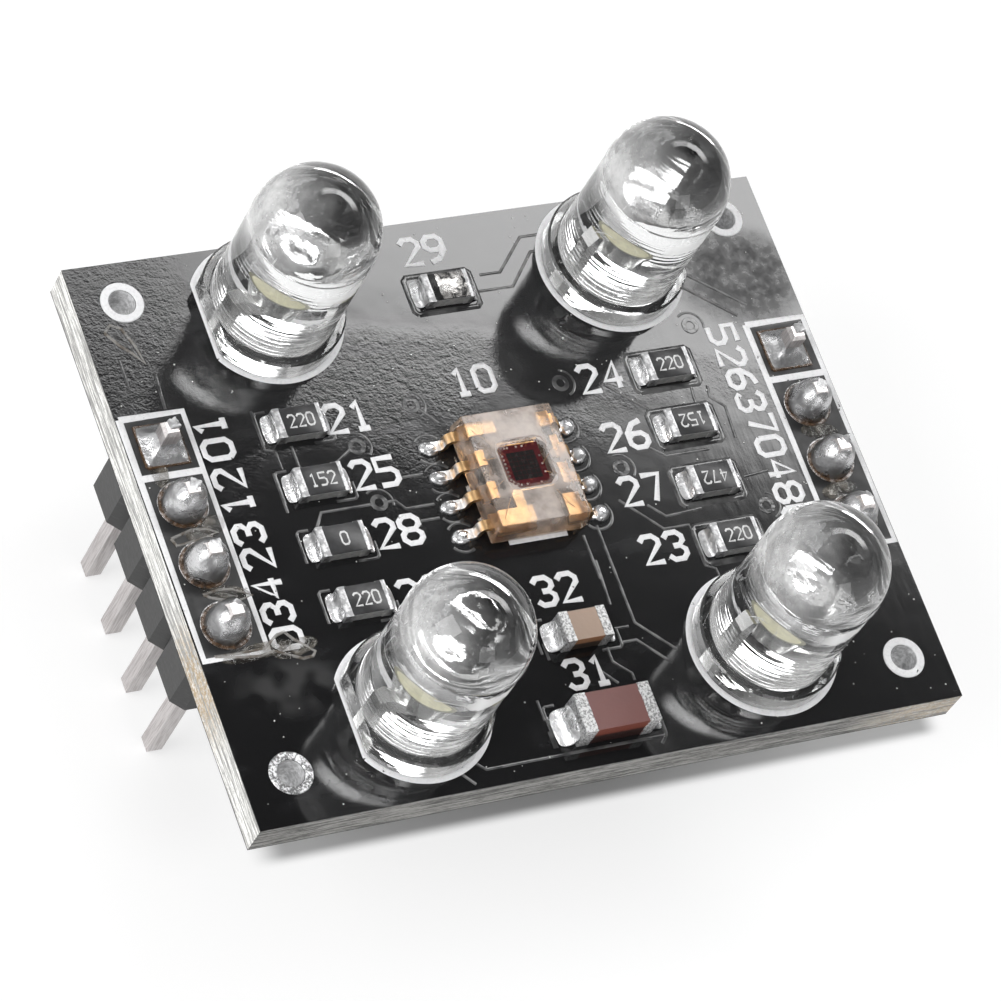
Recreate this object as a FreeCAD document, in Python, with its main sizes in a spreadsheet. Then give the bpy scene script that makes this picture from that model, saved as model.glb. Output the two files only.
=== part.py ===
import FreeCAD, Part
import math
import os
from types import SimpleNamespace

import Sketcher

# Light sensor module: a small circuit board with four clear LEDs round a clear eight-lead
# sensor, eleven chip components and two pin headers underneath.
# The frame: +X along the long side of the board, +Y to the back edge, +Z up out of the
# component side. The origin is on the floor that the pin tips stand on, under the board's centre.

# Driving dimensions in millimetres, angles in degrees
SIZES = {
    # Board and its corner holes
    "board_width": 29.8,
    "board_depth": 23.6,
    "board_thick": 1.6,
    "mount_inset": 1.85,
    "mount_shift_right": 0.05,
    "mount_shift_back": 0.13,
    "mount_bore": 1.06,
    # Pin headers under the board
    "pin_pitch": 2.54,
    "header_inset": 1.46,
    "header_shift_back": 0.15,
    "plastic_side": 2.54,
    "plastic_height": 2.54,
    "plastic_chamfer": 0.47,
    "pin_side": 0.64,
    "pin_slack": 0.095,
    "pin_below": 6.0,
    "pin_above_board": 1.4,
    "pin_tip": 0.4,
    "pin_tip_angle": 24,
    "pin_top": 0.2,
    # Round LEDs
    "led_inset_side": 7.45,
    "led_inset_back": 3.01,
    "led_inset_front": 3.64,
    "lens_radius": 2.5,
    "lens_height": 8.6,
    "flange_lip": 0.4,
    "flange_height": 1.0,
    "lead_pitch": 2.54,
    "lead_width": 0.5,
    "lead_thick": 0.45,
    "lead_slack": 0.19,
    "lead_tail": 1.1,
    "anvil_foot": 1.25,
    "anvil_slope": 0.5,
    "cup_top": 3.05,
    "cup_height": 0.75,
    "cup_skirt": 0.25,
    "cup_base_radius": 0.46,
    "cup_rim_radius": 0.62,
    "cup_wall": 0.08,
    "dish_depth": 0.45,
    "dish_floor_radius": 0.36,
    "phosphor_crown": 0.09,
    "post_rise": 0.05,
    "post_slope": 0.8,
    "post_taper": 0.27,
    "light_chip_side": 0.35,
    "light_chip_thick": 0.15,
    # Clear eight-lead sensor
    "sensor_right": -0.1,
    "sensor_back": 0.15,
    "case_width": 4.0,
    "case_length": 5.0,
    "case_bottom": 0.15,
    "case_cover": 0.45,
    "case_draft": 7,
    "foot_pitch": 1.27,
    "foot_width": 0.4,
    "foot_thick": 0.2,
    "foot_bend": 0.12,
    "foot_neck": 0.15,
    "foot_length": 0.51,
    "foot_root": 0.45,
    "frame_floor": 0.6,
    "chip_side": 1.72,
    "chip_length": 1.8,
    "chip_thick": 0.2,
    "chip_right": 0.14,
    "chip_back": 0.17,
    "carrier_rim": 0.14,
    "carrier_tie": 0.62,
    "carrier_lap": 0.35,
    # Plates of the sensor's lead frame: how far each starts from the case's side, how far it runs in
    # and how wide it is, with its middle's place behind or before its lead
    "plate_margin": 0.14,
    "plate_1_run": 1.4,
    "plate_1_width": 0.56,
    "plate_1_shift": 0.06,
    "plate_2_run": 0.56,
    "plate_2_width": 0.63,
    "plate_2_shift": 0.1,
    "plate_3_run": 0.56,
    "plate_3_width": 0.7,
    "plate_3_shift": 0.0,
    "plate_4_run": 1.68,
    "plate_4_width": 0.74,
    "plate_4_shift": 0.035,
    "plate_5_run": 0.68,
    "plate_5_width": 0.98,
    "plate_5_shift": 0.155,
    "plate_6_run": 0.4,
    "plate_6_width": 0.84,
    "plate_6_shift": 0.255,
    "plate_7_run": 0.3,
    "plate_7_width": 0.92,
    "plate_7_shift": 0.105,
    "plate_8_run": 0.54,
    "plate_8_width": 0.6,
    "plate_8_shift": 0.03,
    # Chip resistors; a column takes its share of the room between the LEDs in front of and behind it
    "resistor_inset": 6.95,
    "column_share": 0.7955,
    "column_shift_back": -0.255,
    "resistor_length": 2.0,
    "resistor_width": 1.25,
    "resistor_height": 0.5,
    "resistor_end": 0.4,
    "back_resistor_right": 0.05,
    "back_resistor_inset": 3.2,
    # Chip capacitors
    "small_cap_right": 0.15,
    "small_cap_inset": 5.35,
    "small_cap_length": 2.0,
    "small_cap_width": 1.25,
    "small_cap_height": 0.88,
    "small_cap_end": 0.4,
    "large_cap_right": -0.06,
    "large_cap_inset": 1.7,
    "large_cap_length": 3.2,
    "large_cap_width": 1.6,
    "large_cap_height": 1.2,
    "large_cap_end": 0.5,
    "end_step": 0.02,
    "chip_edge_radius": 0.06,
    # Solder
    "dome_radius": 0.88,
    "dome_shoulder": 0.18,
    "dome_shoulder_rise": 0.3,
    "dome_wall": 0.05,
    "dome_height": 1.1,
    "cone_radius": 0.8,
    "cone_shoulder": 0.12,
    "cone_shoulder_rise": 0.3,
    "cone_wall": 0.03,
    "cone_height": 0.85,
    "blob_radius": 0.42,
    "blob_shoulder": 0.3,
    "blob_shoulder_rise": 0.2,
    "blob_height": 0.27,
    "blob_setback": 0.08,
    "resistor_fillet": 0.34,
    "resistor_fillet_rise": 0.4,
    "small_cap_fillet": 0.42,
    "small_cap_fillet_rise": 0.6,
    "large_cap_fillet": 0.5,
    "large_cap_fillet_rise": 0.8,
    "fillet_inset": 0.05,
}

PINS_PER_HEADER = 4
RESISTORS_PER_COLUMN = 4
LEADS_PER_SIDE = 4
CARRIER_LEAD = 4
DIAGONAL = math.sqrt(2)

doc = FreeCAD.newDocument("SensorModule")
sheet = doc.addObject("Spreadsheet::Sheet", "Sizes")
for row, (alias, number) in enumerate(SIZES.items(), start=1):
    sheet.set(f"A{row}", str(number))
    sheet.setAlias(f"A{row}", alias)
doc.recompute()


class Size:
    """A length with its number and the formula over the sheet's cells that gives it."""

    def __init__(self, number, formula):
        self.number = number
        self.formula = formula

    def __add__(self, other):
        other = as_size(other)
        return Size(self.number + other.number, f"({self.formula} + {other.formula})")

    def __sub__(self, other):
        other = as_size(other)
        return Size(self.number - other.number, f"({self.formula} - {other.formula})")

    def __mul__(self, other):
        other = as_size(other)
        return Size(self.number * other.number, f"({self.formula} * {other.formula})")

    def __truediv__(self, other):
        other = as_size(other)
        return Size(self.number / other.number, f"({self.formula} / {other.formula})")

    def __rmul__(self, other):
        return as_size(other) * self

    def __neg__(self):
        return self * -1


def as_size(value):
    """A plain number as a Size, so that numbers and sheet lengths stand in one formula."""
    if isinstance(value, Size):
        return value
    return Size(value, f"({value})")


def bind(thing, path, value):
    """Tie a property or a constraint to its formula."""
    thing.setExpression(path, as_size(value).formula)


size = SimpleNamespace(**{name: Size(value, f"Sizes.{name}") for name, value in SIZES.items()})

# Heights and places that follow from the driving dimensions
board_bottom = size.pin_below + size.plastic_height
board_top = board_bottom + size.board_thick
side_edge = size.board_width / 2
end_edge = size.board_depth / 2
mount_reach = side_edge - size.mount_inset
mount_depth = end_edge - size.mount_inset
header_reach = side_edge - size.header_inset
header_length = (PINS_PER_HEADER - 1) * size.pin_pitch
led_reach = side_edge - size.led_inset_side
led_back = end_edge - size.led_inset_back
led_front = size.led_inset_front - end_edge
resistor_reach = side_edge - size.resistor_inset
flange_radius = size.lens_radius + size.flange_lip
column_room = led_back - led_front - 2 * flange_radius
column_span = column_room * size.column_share - size.resistor_width
column_middle = (led_back + led_front) / 2 + size.column_shift_back
pin_bore = size.pin_side * DIAGONAL + size.pin_slack
lead_bore = size.lead_width * DIAGONAL + size.lead_slack
cup_foot = size.cup_top - size.cup_height
dish_floor = size.cup_top - size.dish_depth
dish_rim_radius = size.cup_rim_radius - size.cup_wall
post_top = size.cup_top + size.post_rise
frame_top = size.frame_floor + size.foot_thick
parting = size.frame_floor + size.foot_thick / 2
case_top = frame_top + size.chip_thick + size.case_cover
foot_knee = size.case_width / 2 + size.foot_neck
foot_heel = foot_knee + 2 * size.foot_bend + size.foot_thick
foot_end = foot_heel + size.foot_length
blob_reach = foot_end - size.blob_setback
parts = []


def keep(thing, name):
    """Name a finished sub-part and list it for writing."""
    thing.Label = name
    parts.append(thing)
    return thing


def place(thing, right, back, up, turn=0):
    """Set a sub-part in the module's frame, turned about Z by the given degrees."""
    thing.Placement = FreeCAD.Placement(FreeCAD.Vector(), FreeCAD.Rotation(FreeCAD.Vector(0, 0, 1), turn))
    bind(thing, "Placement.Base.x", right)
    bind(thing, "Placement.Base.y", back)
    bind(thing, "Placement.Base.z", up)
    return thing


def new_body(name, several=False):
    """A body, which may hold several separate solids."""
    body = doc.addObject("PartDesign::Body", name)
    body.AllowCompound = several
    return body


def new_sketch(body, role="XY_Plane", lift=0):
    """A sketch on one of the body's own origin planes, lifted along the plane's normal."""
    sketch = body.newObject("Sketcher::SketchObject", "Outline")
    plane = next(feature for feature in body.Origin.OriginFeatures if feature.Role == role)
    sketch.AttachmentSupport = [(plane, "")]
    sketch.MapMode = "FlatFace"
    bind(sketch, "AttachmentOffset.Base.z", lift)
    return sketch


def limit(sketch, kind, places, value):
    """A constraint of the sketch, tied to its formula."""
    index = sketch.addConstraint(Sketcher.Constraint(kind, *places, as_size(value).number))
    bind(sketch, f"Constraints[{index}]", value)


def pin_point(sketch, edge, end, across, along):
    """Hold one end or centre of an edge at its distances from the sketch's origin."""
    limit(sketch, "DistanceX", (-1, 1, edge, end), across)
    limit(sketch, "DistanceY", (-1, 1, edge, end), along)


def arc_between(start, stop, radius, turns_left):
    """The shorter arc of a circle from start to stop, which turns left or right on its way."""
    chord = stop - start
    middle = (start + stop) * 0.5
    rise = math.sqrt(max(radius ** 2 - (chord.Length / 2) ** 2, 0))
    side = 1 if turns_left else -1
    left = FreeCAD.Vector(-chord.y, chord.x, 0).normalize()
    centre = middle + left * (rise * side)
    first, last = (start, stop) if turns_left else (stop, start)
    angles = [math.atan2(point.y - centre.y, point.x - centre.x) for point in (first, last)]
    if angles[1] <= angles[0]:
        angles[1] += 2 * math.pi
    circle = Part.Circle(centre, FreeCAD.Vector(0, 0, 1), radius)
    return Part.ArcOfCircle(circle, angles[0], angles[1])


def outline(sketch, corners, arcs=None):
    """A closed outline through the corners.

    arcs gives, for an edge by its number, the arc's radius and whether it turns left.
    """
    arcs = arcs or {}
    points = [FreeCAD.Vector(as_size(x).number, as_size(y).number, 0) for x, y in corners]
    count = len(points)
    ends = []
    for number in range(count):
        start, stop = points[number], points[(number + 1) % count]
        if number in arcs:
            radius, turns_left = arcs[number]
            edge = sketch.addGeometry(arc_between(start, stop, as_size(radius).number, turns_left))
            ends.append((edge, 1, 2) if turns_left else (edge, 2, 1))
        else:
            edge = sketch.addGeometry(Part.LineSegment(start, stop))
            ends.append((edge, 1, 2))
    for number, (edge, _, last) in enumerate(ends):
        following, first, _ = ends[(number + 1) % count]
        sketch.addConstraint(Sketcher.Constraint("Coincident", edge, last, following, first))
    for (edge, first, _), (x, y) in zip(ends, corners):
        pin_point(sketch, edge, first, x, y)
    for number, (radius, _) in arcs.items():
        limit(sketch, "Radius", (ends[number][0],), radius)


def rectangle(sketch, left, right, front, back):
    """A rectangle by its four sides."""
    outline(sketch, [(left, front), (right, front), (right, back), (left, back)])


def circle(sketch, right, back, bore):
    """A circle by its centre and diameter."""
    centre = FreeCAD.Vector(as_size(right).number, as_size(back).number, 0)
    edge = sketch.addGeometry(Part.Circle(centre, FreeCAD.Vector(0, 0, 1), as_size(bore).number / 2))
    pin_point(sketch, edge, 3, right, back)
    limit(sketch, "Diameter", (edge,), bore)


def pad(body, sketch, length, both_ways=False, down=False, taper=None):
    """Extrude a sketch along its plane's normal, both ways from it, or against the normal."""
    feature = body.newObject("PartDesign::Pad", "Pad")
    feature.Profile = sketch
    feature.SideType = "Symmetric" if both_ways else "One side"
    feature.Reversed = down
    bind(feature, "Length", length)
    if taper is not None:
        bind(feature, "TaperAngle", taper)
    return feature


def revolve(body, sketch, cut=False):
    """Turn a sketch once round its upright axis, adding or cutting."""
    kind = "PartDesign::Groove" if cut else "PartDesign::Revolution"
    feature = body.newObject(kind, "Turned")
    feature.Profile = sketch
    feature.ReferenceAxis = (sketch, ["V_Axis"])
    feature.Angle = 360
    return feature


def pocket_through(body, sketch):
    """Cut a sketch through the whole solid, both ways from its plane."""
    before = solid_volume(body)
    feature = body.newObject("PartDesign::Pocket", "Pocket")
    feature.Profile = sketch
    feature.Type = "ThroughAll"
    feature.SideType = "Symmetric"
    check_cut(body, before)
    return feature


def pocket_up(body, sketch, depth):
    """Cut a sketch upward from its plane."""
    before = solid_volume(body)
    feature = body.newObject("PartDesign::Pocket", "Pocket")
    feature.Profile = sketch
    feature.Reversed = True
    bind(feature, "Length", depth)
    check_cut(body, before)
    return feature


def solid_volume(body):
    """The body's volume as it stands."""
    doc.recompute()
    return body.Shape.Volume


def check_cut(body, before):
    """Make sure that the newest feature took material away."""
    if solid_volume(body) >= before:
        raise RuntimeError(f"{body.Name}: a cut took nothing away")


def repeat(body, features, across=None, along=None, whole=False):
    """Repeat features in rows: across and along give the span of a row and the number in it."""
    pattern = body.newObject("PartDesign::LinearPattern", "Rows")
    if whole:
        pattern.TransformMode = "Whole shape"
    else:
        pattern.Originals = features
    axes = {feature.Role: feature for feature in body.Origin.OriginFeatures}
    rows = [(axes["X_Axis"], across), (axes["Y_Axis"], along)]
    rows = [(axis, row) for axis, row in rows if row]
    names = [("Direction", "Length", "Occurrences"), ("Direction2", "Length2", "Occurrences2")]
    for (axis, (span, number)), (direction, length, occurrences) in zip(rows, names):
        setattr(pattern, direction, (axis, [""]))
        setattr(pattern, occurrences, number)
        bind(pattern, length, span)
    body.Tip = pattern
    return pattern


def cut_out(name, base, tools):
    """The base with the room of the tools cut out of it."""
    room = doc.addObject("Part::Compound", f"{name}_room")
    room.Links = tools
    cut = doc.addObject("Part::Cut", f"{name}_cut")
    cut.Base = base
    cut.Tool = room
    return cut


def crown_radius(half_width, rise):
    """The radius of the arc that rises by rise over half a chord."""
    return (half_width * half_width + rise * rise) / (2 * rise)


# Circuit board

def make_board():
    """The board with its corner holes and its plated holes for header pins and LED leads."""
    body = new_body("circuit_board")
    plan = new_sketch(body)
    rectangle(plan, -side_edge, side_edge, -end_edge, end_edge)
    pad(body, plan, size.board_thick)

    corner = new_sketch(body)
    circle(corner, size.mount_shift_right - mount_reach, size.mount_shift_back - mount_depth, size.mount_bore)
    holes = pocket_through(body, corner)
    repeat(body, [holes], (2 * mount_reach, 2), (2 * mount_depth, 2))

    pins = new_sketch(body)
    circle(pins, -header_reach, size.header_shift_back - header_length / 2, pin_bore)
    holes = pocket_through(body, pins)
    repeat(body, [holes], (2 * header_reach, 2), (header_length, PINS_PER_HEADER))

    leads = new_sketch(body)
    for side in (-1, 1):
        circle(leads, side * size.lead_pitch / 2 - led_reach, led_front, lead_bore)
    holes = pocket_through(body, leads)
    repeat(body, [holes], (2 * led_reach, 2), (led_back - led_front, 2))
    keep(place(body, 0, 0, board_bottom), "circuit_board")


# Pin headers

def make_header_plastic(side_name, right):
    """A strip of four octagonal segments, flush under the board, with square pin holes."""
    body = new_body(f"header_plastic_{side_name}")
    plan = new_sketch(body)
    half = size.plastic_side / 2
    flat = half - size.plastic_chamfer
    outline(plan, [
        (-half, -flat), (-flat, -half), (flat, -half), (half, -flat),
        (half, flat), (flat, half), (-flat, half), (-half, flat),
    ])
    segment = pad(body, plan, size.plastic_height)
    hole = new_sketch(body)
    rectangle(hole, -size.pin_side / 2, size.pin_side / 2, -size.pin_side / 2, size.pin_side / 2)
    room = pocket_through(body, hole)
    repeat(body, [segment, room], along=(header_length, PINS_PER_HEADER))
    first = size.header_shift_back - header_length / 2
    keep(place(body, right, first, size.pin_below), f"header_plastic_{side_name}")


def make_header_pin(side_name, right, number):
    """A square pin with a long pointed tip below and a short one above."""
    body = new_body(f"header_pin_{side_name}_{number}")
    half = size.pin_side / 2
    shaft_top = board_top + size.pin_above_board - size.pin_top
    shaft = new_sketch(body, lift=size.pin_tip)
    rectangle(shaft, -half, half, -half, half)
    pad(body, shaft, shaft_top - size.pin_tip)
    lower = new_sketch(body, lift=size.pin_tip)
    rectangle(lower, -half, half, -half, half)
    pad(body, lower, size.pin_tip, down=True, taper=-size.pin_tip_angle)
    upper = new_sketch(body, lift=shaft_top)
    rectangle(upper, -half, half, -half, half)
    pad(body, upper, size.pin_top, taper=-size.pin_tip_angle)
    middle = (PINS_PER_HEADER + 1) / 2
    back = size.header_shift_back + (middle - number) * size.pin_pitch
    keep(place(body, right, back, 0), f"header_pin_{side_name}_{number}")


def make_header_solder(side_name, right):
    """Solder that fills each plated hole round its pin and rises from the pad to its neck."""
    body = new_body(f"header_solder_{side_name}", several=True)
    section = new_sketch(body, "XZ_Plane")
    bore = pin_bore / 2
    neck = size.pin_side * DIAGONAL / 2 + size.dome_wall
    outline(section, [
        (0, -size.board_thick), (bore, -size.board_thick), (bore, 0), (size.dome_radius, 0),
        (size.dome_radius - size.dome_shoulder, size.dome_shoulder_rise), (neck, size.dome_height),
        (0, size.dome_height),
    ])
    joint = revolve(body, section)
    hole = new_sketch(body)
    rectangle(hole, -size.pin_side / 2, size.pin_side / 2, -size.pin_side / 2, size.pin_side / 2)
    room = pocket_through(body, hole)
    repeat(body, [joint, room], along=(header_length, PINS_PER_HEADER))
    first = size.header_shift_back - header_length / 2
    keep(place(body, right, first, board_top), f"header_solder_{side_name}")


# Round LEDs, each in its own frame with its axis as Z and its flange on the board

def make_led_lens_shape(name):
    """The clear moulding: a flange with one flat side, a cylinder and a round dome."""
    body = new_body(f"lens_shape_{name}")
    section = new_sketch(body, "XZ_Plane")
    outline(section, [
        (0, 0), (flange_radius, 0), (flange_radius, size.flange_height),
        (size.lens_radius, size.flange_height), (size.lens_radius, size.lens_height - size.lens_radius),
        (0, size.lens_height),
    ], {4: (size.lens_radius, True)})
    revolve(body, section)
    flat = new_sketch(body)
    rectangle(flat, -2 * flange_radius, -size.lens_radius, -flange_radius, flange_radius)
    pocket_up(body, flat, size.flange_height)
    return body


def make_led_cup_lead(name):
    """The stamped lead whose head carries the reflector cup."""
    body = new_body(f"led_cup_lead_{name}")
    outer = -(size.lead_pitch + size.lead_width) / 2
    inner = -(size.lead_pitch - size.lead_width) / 2
    end = -(size.board_thick + size.lead_tail)
    blade = new_sketch(body, "XZ_Plane")
    outline(blade, [
        (outer, end), (inner, end), (inner, size.anvil_foot), (size.cup_base_radius, cup_foot),
        (-(size.cup_rim_radius + size.cup_skirt), cup_foot), (outer, cup_foot - size.anvil_slope),
    ])
    pad(body, blade, size.lead_thick, both_ways=True)
    cup = new_sketch(body, "XZ_Plane")
    cup_bottom = cup_foot - size.cup_skirt
    outline(cup, [
        (0, cup_bottom), (size.cup_base_radius, cup_bottom), (size.cup_rim_radius, size.cup_top),
        (0, size.cup_top),
    ])
    revolve(body, cup)
    before = solid_volume(body)
    dish = new_sketch(body, "XZ_Plane")
    outline(dish, [
        (0, dish_floor), (size.dish_floor_radius, dish_floor),
        (dish_rim_radius, size.cup_top), (0, size.cup_top),
    ])
    revolve(body, dish, cut=True)
    check_cut(body, before)
    return body


def make_led_post_lead(name):
    """The other lead, a plain post with a slanted head beside the cup."""
    body = new_body(f"led_post_lead_{name}")
    inner = (size.lead_pitch - size.lead_width) / 2
    outer = (size.lead_pitch + size.lead_width) / 2
    end = -(size.board_thick + size.lead_tail)
    blade = new_sketch(body, "XZ_Plane")
    outline(blade, [
        (inner, end), (outer, end), (outer, post_top - size.post_slope),
        (outer - size.post_taper, post_top), (inner, post_top),
    ])
    pad(body, blade, size.lead_thick, both_ways=True)
    return body


def make_phosphor_shape(name):
    """The fill of the cup, slightly crowned above its rim."""
    body = new_body(f"phosphor_shape_{name}")
    section = new_sketch(body, "XZ_Plane")
    crown = crown_radius(dish_rim_radius, size.phosphor_crown)
    outline(section, [
        (0, dish_floor), (size.dish_floor_radius, dish_floor),
        (dish_rim_radius, size.cup_top), (0, size.cup_top + size.phosphor_crown),
    ], {2: (crown, True)})
    revolve(body, section)
    return body


def make_led(name, right, back, turn):
    """One LED: its two leads, light-giving chip, phosphor and clear lens."""
    shape = place(make_led_lens_shape(name), right, back, board_top, turn)
    cup_lead = place(make_led_cup_lead(name), right, back, board_top, turn)
    post_lead = place(make_led_post_lead(name), right, back, board_top, turn)
    fill = place(make_phosphor_shape(name), right, back, board_top, turn)
    chip = doc.addObject("Part::Box", f"led_chip_{name}")
    bind(chip, "Length", size.light_chip_side)
    bind(chip, "Width", size.light_chip_side)
    bind(chip, "Height", size.light_chip_thick)
    half = size.light_chip_side / 2
    place(chip, right - half, back - half, board_top + dish_floor)
    keep(cup_lead, f"led_cup_lead_{name}")
    keep(post_lead, f"led_post_lead_{name}")
    keep(chip, f"led_chip_{name}")
    keep(cut_out(f"led_phosphor_{name}", fill, [chip]), f"led_phosphor_{name}")
    keep(cut_out(f"led_lens_{name}", shape, [cup_lead, post_lead, fill]), f"led_lens_{name}")


def make_led_solder():
    """Solder that fills the lead holes and stands under the board as steep cones."""
    body = new_body("led_solder", several=True)
    section = new_sketch(body, "XZ_Plane")
    bore = lead_bore / 2
    low = -(size.board_thick + size.cone_height)
    neck = size.lead_width * DIAGONAL / 2 + size.cone_wall
    shoulder = size.cone_radius - size.cone_shoulder
    outline(section, [
        (0, low), (neck, low), (shoulder, -(size.board_thick + size.cone_shoulder_rise)),
        (size.cone_radius, -size.board_thick), (bore, -size.board_thick), (bore, 0), (0, 0),
    ])
    revolve(body, section)
    hole = new_sketch(body)
    rectangle(hole, -size.lead_width / 2, size.lead_width / 2, -size.lead_thick / 2, size.lead_thick / 2)
    pocket_through(body, hole)
    doc.recompute()
    repeat(body, [], (size.lead_pitch, 2), whole=True)
    doc.recompute()
    repeat(body, [], (2 * led_reach, 2), (led_back - led_front, 2), whole=True)
    first = -led_reach - size.lead_pitch / 2
    keep(place(body, first, led_front, board_top), "led_solder")


# Clear eight-lead sensor, in its own frame with its centre on the board as origin

def lead_back(number):
    """How far back a lead's centre line is from the sensor's centre."""
    row = number if number <= LEADS_PER_SIDE else 2 * LEADS_PER_SIDE + 1 - number
    return ((LEADS_PER_SIDE + 1) / 2 - row) * size.foot_pitch


def frame_plate(number):
    """The left, right, front and back sides of a lead's plate inside the case."""
    name = f"plate_{number}"
    outer = size.case_width / 2 - size.plate_margin
    inner = outer - getattr(size, f"{name}_run")
    middle = lead_back(number) + getattr(size, f"{name}_shift")
    half = getattr(size, f"{name}_width") / 2
    if number <= LEADS_PER_SIDE:
        return -outer, -inner, middle - half, middle + half
    return inner, outer, middle - half, middle + half


def chip_carrier():
    """The tie to the lead and the plate under the chip, a rim larger than it at the front and back."""
    left = size.chip_right - size.chip_side / 2
    right = size.chip_right + size.chip_side / 2
    front = size.chip_back - size.chip_length / 2 - size.carrier_rim
    back = size.chip_back + size.chip_length / 2 + size.carrier_rim
    _, plate_end, plate_front, _ = frame_plate(CARRIER_LEAD)
    tie = (plate_end - size.carrier_tie, left + size.carrier_lap, plate_front, front + size.carrier_rim)
    return [tie, (left, right, front, back)]


def make_sensor_lead(number):
    """A bent lead with its plate inside the clear case; one of them carries the chip."""
    body = new_body(f"sensor_lead_{number}")
    side = -1 if number <= LEADS_PER_SIDE else 1
    on_right = side > 0
    thick = size.foot_thick
    bend = size.foot_bend
    low = size.frame_floor
    root = side * (size.case_width / 2 - size.foot_root)
    inner_face = side * (foot_knee + bend)
    outer_face = side * (foot_knee + bend + thick)
    section = new_sketch(body, "XZ_Plane", lift=-lead_back(number))
    outline(section, [
        (root, low),
        (side * foot_knee, low),
        (inner_face, low - bend),
        (inner_face, thick + bend),
        (side * foot_heel, 0),
        (side * foot_end, 0),
        (side * foot_end, thick),
        (side * foot_heel, thick),
        (outer_face, thick + bend),
        (outer_face, low - bend),
        (side * foot_knee, low + thick),
        (root, low + thick),
    ], {
        1: (bend, not on_right),
        3: (bend + thick, on_right),
        7: (bend, not on_right),
        9: (bend + thick, on_right),
    })
    pad(body, section, size.foot_width, both_ways=True)
    plates = [frame_plate(number)]
    if number == CARRIER_LEAD:
        plates += chip_carrier()
    for left, right, front, back in plates:
        plate = new_sketch(body, lift=low)
        rectangle(plate, left, right, front, back)
        pad(body, plate, thick)
    keep(place(body, size.sensor_right, size.sensor_back, board_top), f"sensor_lead_{number}")
    return body


def make_sensor():
    """The sensor: eight leads, the chip on its plate, the clear drafted case and the solder."""
    leads = [make_sensor_lead(number) for number in range(1, 2 * LEADS_PER_SIDE + 1)]
    chip = doc.addObject("Part::Box", "sensor_chip")
    bind(chip, "Length", size.chip_side)
    bind(chip, "Width", size.chip_length)
    bind(chip, "Height", size.chip_thick)
    place(
        chip,
        size.sensor_right + size.chip_right - size.chip_side / 2,
        size.sensor_back + size.chip_back - size.chip_length / 2,
        board_top + frame_top,
    )
    keep(chip, "sensor_chip")

    case = new_body("sensor_case_shape")
    half_width = size.case_width / 2
    half_length = size.case_length / 2
    upper = new_sketch(case, lift=parting)
    rectangle(upper, -half_width, half_width, -half_length, half_length)
    pad(case, upper, case_top - parting, taper=-size.case_draft)
    lower = new_sketch(case, lift=parting)
    rectangle(lower, -half_width, half_width, -half_length, half_length)
    pad(case, lower, parting - size.case_bottom, down=True, taper=-size.case_draft)
    place(case, size.sensor_right, size.sensor_back, board_top)
    keep(cut_out("sensor_case", case, leads + [chip]), "sensor_case")

    blobs = new_body("sensor_solder_shape", several=True)
    section = new_sketch(blobs, "XZ_Plane")
    outline(section, [
        (0, 0), (size.blob_radius, 0), (size.blob_shoulder, size.blob_shoulder_rise), (0, size.blob_height),
    ])
    blob = revolve(blobs, section)
    row_length = (LEADS_PER_SIDE - 1) * size.foot_pitch
    repeat(blobs, [blob], (2 * blob_reach, 2), (row_length, LEADS_PER_SIDE))
    place(
        blobs,
        size.sensor_right - blob_reach,
        size.sensor_back - row_length / 2,
        board_top,
    )
    keep(cut_out("sensor_solder", blobs, leads), "sensor_solder")


# Chip components, each in its own frame with its length along X

def make_chip(name, length, width, height, end, right, back):
    """A chip component: a body between two slightly larger metal ends that stand on the board."""
    body = new_body(name)
    step = size.end_step
    middle = new_sketch(body, lift=step)
    rectangle(middle, end - length / 2, length / 2 - end, step - width / 2, width / 2 - step)
    pad(body, middle, height - 2 * step)
    ends = new_sketch(body)
    for side in (-1, 1):
        near, far = side * (length / 2 - end), side * length / 2
        left, right_side = (near, far) if side > 0 else (far, near)
        rectangle(ends, left, right_side, -width / 2, width / 2)
    block = pad(body, ends, height)
    doc.recompute()
    rounded = body.newObject("PartDesign::Fillet", "Rounded")
    rounded.Base = (block, outer_edges(block.Shape, as_size(length).number / 2))
    bind(rounded, "Radius", size.chip_edge_radius)
    keep(place(body, right, back, board_top), name)


def outer_edges(shape, reach):
    """The upright and top edges at the two ends of a chip component."""
    names = []
    for number, edge in enumerate(shape.Edges, start=1):
        box = edge.BoundBox
        at_end = abs(abs(box.Center.x) - reach) < 0.001
        if at_end and box.ZMax > shape.BoundBox.ZMax - 0.001:
            names.append(f"Edge{number}")
    return names


def make_fillets(name, length, width, run, rise, columns=None, rows=None):
    """Hollow solder fillets at both ends of a chip component, repeated in columns and rows."""
    body = new_body(name, several=True)
    section = new_sketch(body, "XZ_Plane")
    for side in (-1, 1):
        outline(section, [
            (side * length / 2, 0), (side * (length / 2 + run), 0), (side * length / 2, rise),
        ], {1: (2 * rise, side < 0)})
    fillets = pad(body, section, width - 2 * size.fillet_inset, both_ways=True)
    if columns:
        repeat(body, [fillets], columns, rows)
    return body


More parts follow.
